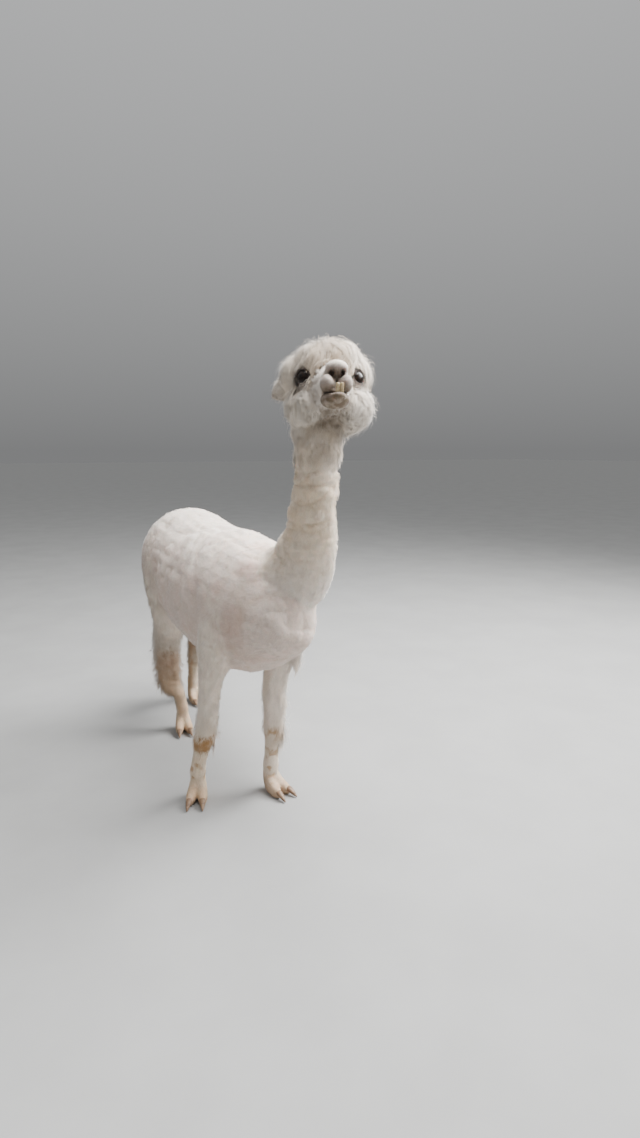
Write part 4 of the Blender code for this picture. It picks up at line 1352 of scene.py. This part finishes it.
def coats(skin):
    """Each piece of coat: its name, a slot name, its parts of the skin, its roots for each square
    metre, and its locks."""
    share = skin.share
    bare = opening(skin.points)
    ahead = from_head(skin.points)[:, 1]
    left, forward, up = from_hips(skin.points)
    front = skin.points[:, 1] < 0.16
    long_face = 1 - blend_in(ahead, 0.030, 0.070)
    outer = blend_in(skin.normals[:, 0] * np.sign(left), -0.3, 0.4)
    shaggy = share["leg"] * blend_in(skin.depth, 0.0065, 0.011) * (up > 0.14)
    shaggy *= np.where(forward < LEGS_PART, 1, np.where(left > 0, outer, 0.35))

    def near(spot, reach):
        return 170000 * np.exp(-(((skin.points - place(spot)) / reach) ** 2).sum(1))

    yield "trunk_front", "wool", ("trunk",), 12500 * share["trunk"] * front, CLIPPED
    yield "trunk_rear", "wool", ("trunk",), 12500 * share["trunk"] * ~front, CLIPPED
    density = 26000 * share["neck"] * (up > 0.70)
    look = Coat(0.010, 0.0008, 0.80, 0.0006, 2, 0.30, crowd=9, gather=0.4, shadow=0.25)
    yield "neck", "neck_wool", ("neck",), density, look
    density = 24000 * (share["leg"] + share["foot"]) * (up > 0.012) * front
    look = Coat(0.013, 0.0008, 0.85, 0.0010, 3, 0.26, crowd=9, gather=0.4, shadow=0.4)
    yield "legs_front", "cannon_wool", ("leg", "foot"), density, look
    density = (12500 * share["leg"] + 20000 * share["foot"]) * (up > 0.012) * ~front
    look = Coat(0.014, 0.0009, 0.90, 0.0012, 3, 0.28, crowd=9, gather=0.5, shadow=0.5)
    yield "legs_hind", "cannon_wool", ("leg", "foot"), density, look
    look = Coat(0.028, 0.0008, 1.35, 0.0028, 4, 0.36, crowd=9, arch=1.4, sag=0.004, loose=0.16)
    yield "legs_shag", "cannon_wool", ("leg",), 28500 * shaggy, look
    density = sum(near(spot, 0.016) for spot in WISPS)
    look = Coat(0.042, 0.0008, 3.4, 0.0040, 5, 0.40, crowd=8, arch=1.1, sag=0.012, loose=0.2)
    yield "wisps", "cannon_wool", ("leg",), density, look
    look = Coat(0.045, 0.0010, 5.0, 0.0050, 5, 0.32, crowd=9, arch=1.2, sag=0.022, loose=0.10)
    yield "elbow", "wool", ("trunk", "leg"), near(ELBOW, 0.020), look
    look = Coat(0.026, 0.0013, 1.0, 0.0020, 4, 0.25, crowd=10, gather=0.7, loose=0.08)
    yield "tail", "wool", ("tail",), 60000 * share["tail"], look
    look = Coat(0.034, 0.0008, 1.6, 0.0040, 4, 0.50, crowd=8, gather=0.4, arch=1.3, loose=0.15)
    yield "ears", "head_wool", ("ear",), 110000 * share["ear"], look
    density = 172000 * share["crown"] * (ahead > -0.070)
    look = Coat(0.040, 0.00065, 1.60, 0.0036, 5, 0.38, crowd=9, gather=0.45, arch=1.4, loose=0.12)
    yield "crown_front", "head_wool", ("crown",), density, look
    density = 140000 * share["crown"] * (ahead <= -0.070)
    look = Coat(0.040, 0.0010, 1.60, 0.0036, 4, 0.38, crowd=9, gather=0.45, arch=1.4, loose=0.12)
    yield "crown_rear", "head_wool", ("crown",), density, look
    density = 50000 * (share["crown"] * blend_in(ahead, -0.040, 0.0))
    look = Coat(0.070, 0.0008, 2.2, 0.0050, 8, 0.26, crowd=8, gather=0.7, sag=0.016)
    yield "fringe", "head_wool", ("crown",), density, look
    look = Coat(0.034, 0.00068, 1.65, 0.0034, 4, 0.42, crowd=8, gather=0.45, arch=1.3, loose=0.12)
    yield "cheeks", "head_wool", ("cheek",), 178000 * share["cheek"], look
    density = 120000 * share["throat"] * (up > COLLAR_HEIGHT - 0.01)
    look = Coat(0.026, 0.0007, 1.30, 0.0026, 4, 0.34, crowd=9, gather=0.4, arch=1.5, sag=0.003)
    yield "throat", "head_wool", ("throat",), density, look
    density = 200000 * share["face"] * long_face * (1 - bare)
    look = Coat(0.022, 0.0007, 1.5, 0.0020, 4, 0.34, crowd=8, gather=0.5, arch=1.4)
    yield "face_long", "head_wool", ("face",), density, look
    density = 150000 * share["face"] * (1 - bare) * (1 - long_face)
    look = Coat(0.0038, 0.00035, 0.8, 0.0002, 2, 0.20, crowd=4, gather=0.3, loose=0.0)
    yield "face_short", "face", ("face",), density, look


# ---------------------------------------------------------------- build
SKIN = skin_material()
WOOL = wool_material()
EYE = eye_material()
NAIL = nail_material()
TOOTH = tooth_material()
LASH = lash_material()
APART = ("eye", "toenail", "teeth")  # nodes that the skin leaves alone
FLESH_NODES = [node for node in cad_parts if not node.startswith(APART)]

skin_object = make_skin()
skin = Skin(skin_object)
marks = markings(skin)
set_attributes(skin_object.data, marks)
show(skin_object, SKIN, *FLESH_NODES)

for out, side_name in ((1, "left"), (-1, "right")):
    eye = eye_piece(f"alpaca_eye_{side_name}", out)
    show(eye, EYE, f"eye_{side_name}")
    show(lashes_piece(f"alpaca_lashes_{side_name}", out), LASH)
for leg in LEGS:
    for nail, node in nail_pieces(leg):
        show(nail, NAIL, node)
teeth = teeth_piece()
show(teeth, TOOTH, "teeth")

for number, (name, slot, kinds, density, look) in enumerate(coats(skin)):
    rng = np.random.default_rng(100 + number)
    coat = grow(f"alpaca_coat_{name}", skin, marks, kinds, density, look, rng)
    show(coat, WOOL)

# ---------------------------------------------------------------- studio
def studio_floor():
    shape = bmesh.new()
    bmesh.ops.create_grid(shape, x_segments=1, y_segments=1, size=60)
    mesh = bpy.data.meshes.new("studio_floor")
    shape.to_mesh(mesh)
    shape.free()
    mesh.materials.append(floor_material())
    return linked("studio_floor", mesh)


def studio_sky():
    """Plain light all round, dimmest at the horizon, where it meets the floor."""
    world = bpy.data.worlds.new("studio")
    bpy.context.scene.world = world
    world.use_nodes = True
    nodes, links = world.node_tree.nodes, world.node_tree.links
    where, split = nodes.new("ShaderNodeTexCoord"), nodes.new("ShaderNodeSeparateXYZ")
    glow = nodes.new("ShaderNodeMapRange")
    for socket, given in zip(glow.inputs[1:5], (0.0, 0.8, 0.215, 0.74)):
        socket.default_value = given
    links.new(where.outputs["Generated"], split.inputs[0])
    links.new(split.outputs["Z"], glow.inputs[0])
    links.new(glow.outputs[0], nodes["Background"].inputs["Strength"])
    nodes["Background"].inputs["Color"].default_value = (0.98, 0.99, 1.0, 1.0)


def soft_light(name, at, size, power, target=(0.0, 0.0, 0.7)):
    data = bpy.data.lights.new(name, "AREA")
    data.size = size
    data.energy = power
    light = linked(name, data)
    light.location = at
    light.rotation_euler = (Vector(target) - Vector(at)).to_track_quat("-Z", "Y").to_euler()


def photo_camera():
    """A camera that stands and looks as the photo's did."""
    data = bpy.data.cameras.new("camera")
    data.lens = CAMERA_LENS
    data.sensor_width = CAMERA_SENSOR
    camera = linked("camera", data)
    camera.location = place(CAMERA_PLACE)
    level = math.cos(CAMERA_PITCH)
    ahead = Vector((CAMERA_FORWARD[0] * level, CAMERA_FORWARD[1] * level, -math.sin(CAMERA_PITCH)))
    camera.rotation_mode = "QUATERNION"
    camera.rotation_quaternion = ahead.to_track_quat("-Z", "Y")
    bpy.context.scene.camera = camera


floor = studio_floor()
studio_sky()
soft_light("key", (0.8, -0.8, 4.4), 2.2, 400.0)
soft_light("fill", (2.8, -3.6, 2.4), 3.0, 45.0)
soft_light("back", (2.9, -0.2, 3.2), 2.0, 370.0)
soft_light("head", (1.05, -1.15, 2.05), 0.8, 20.0, target=(0.06, -0.6, 1.3))
photo_camera()
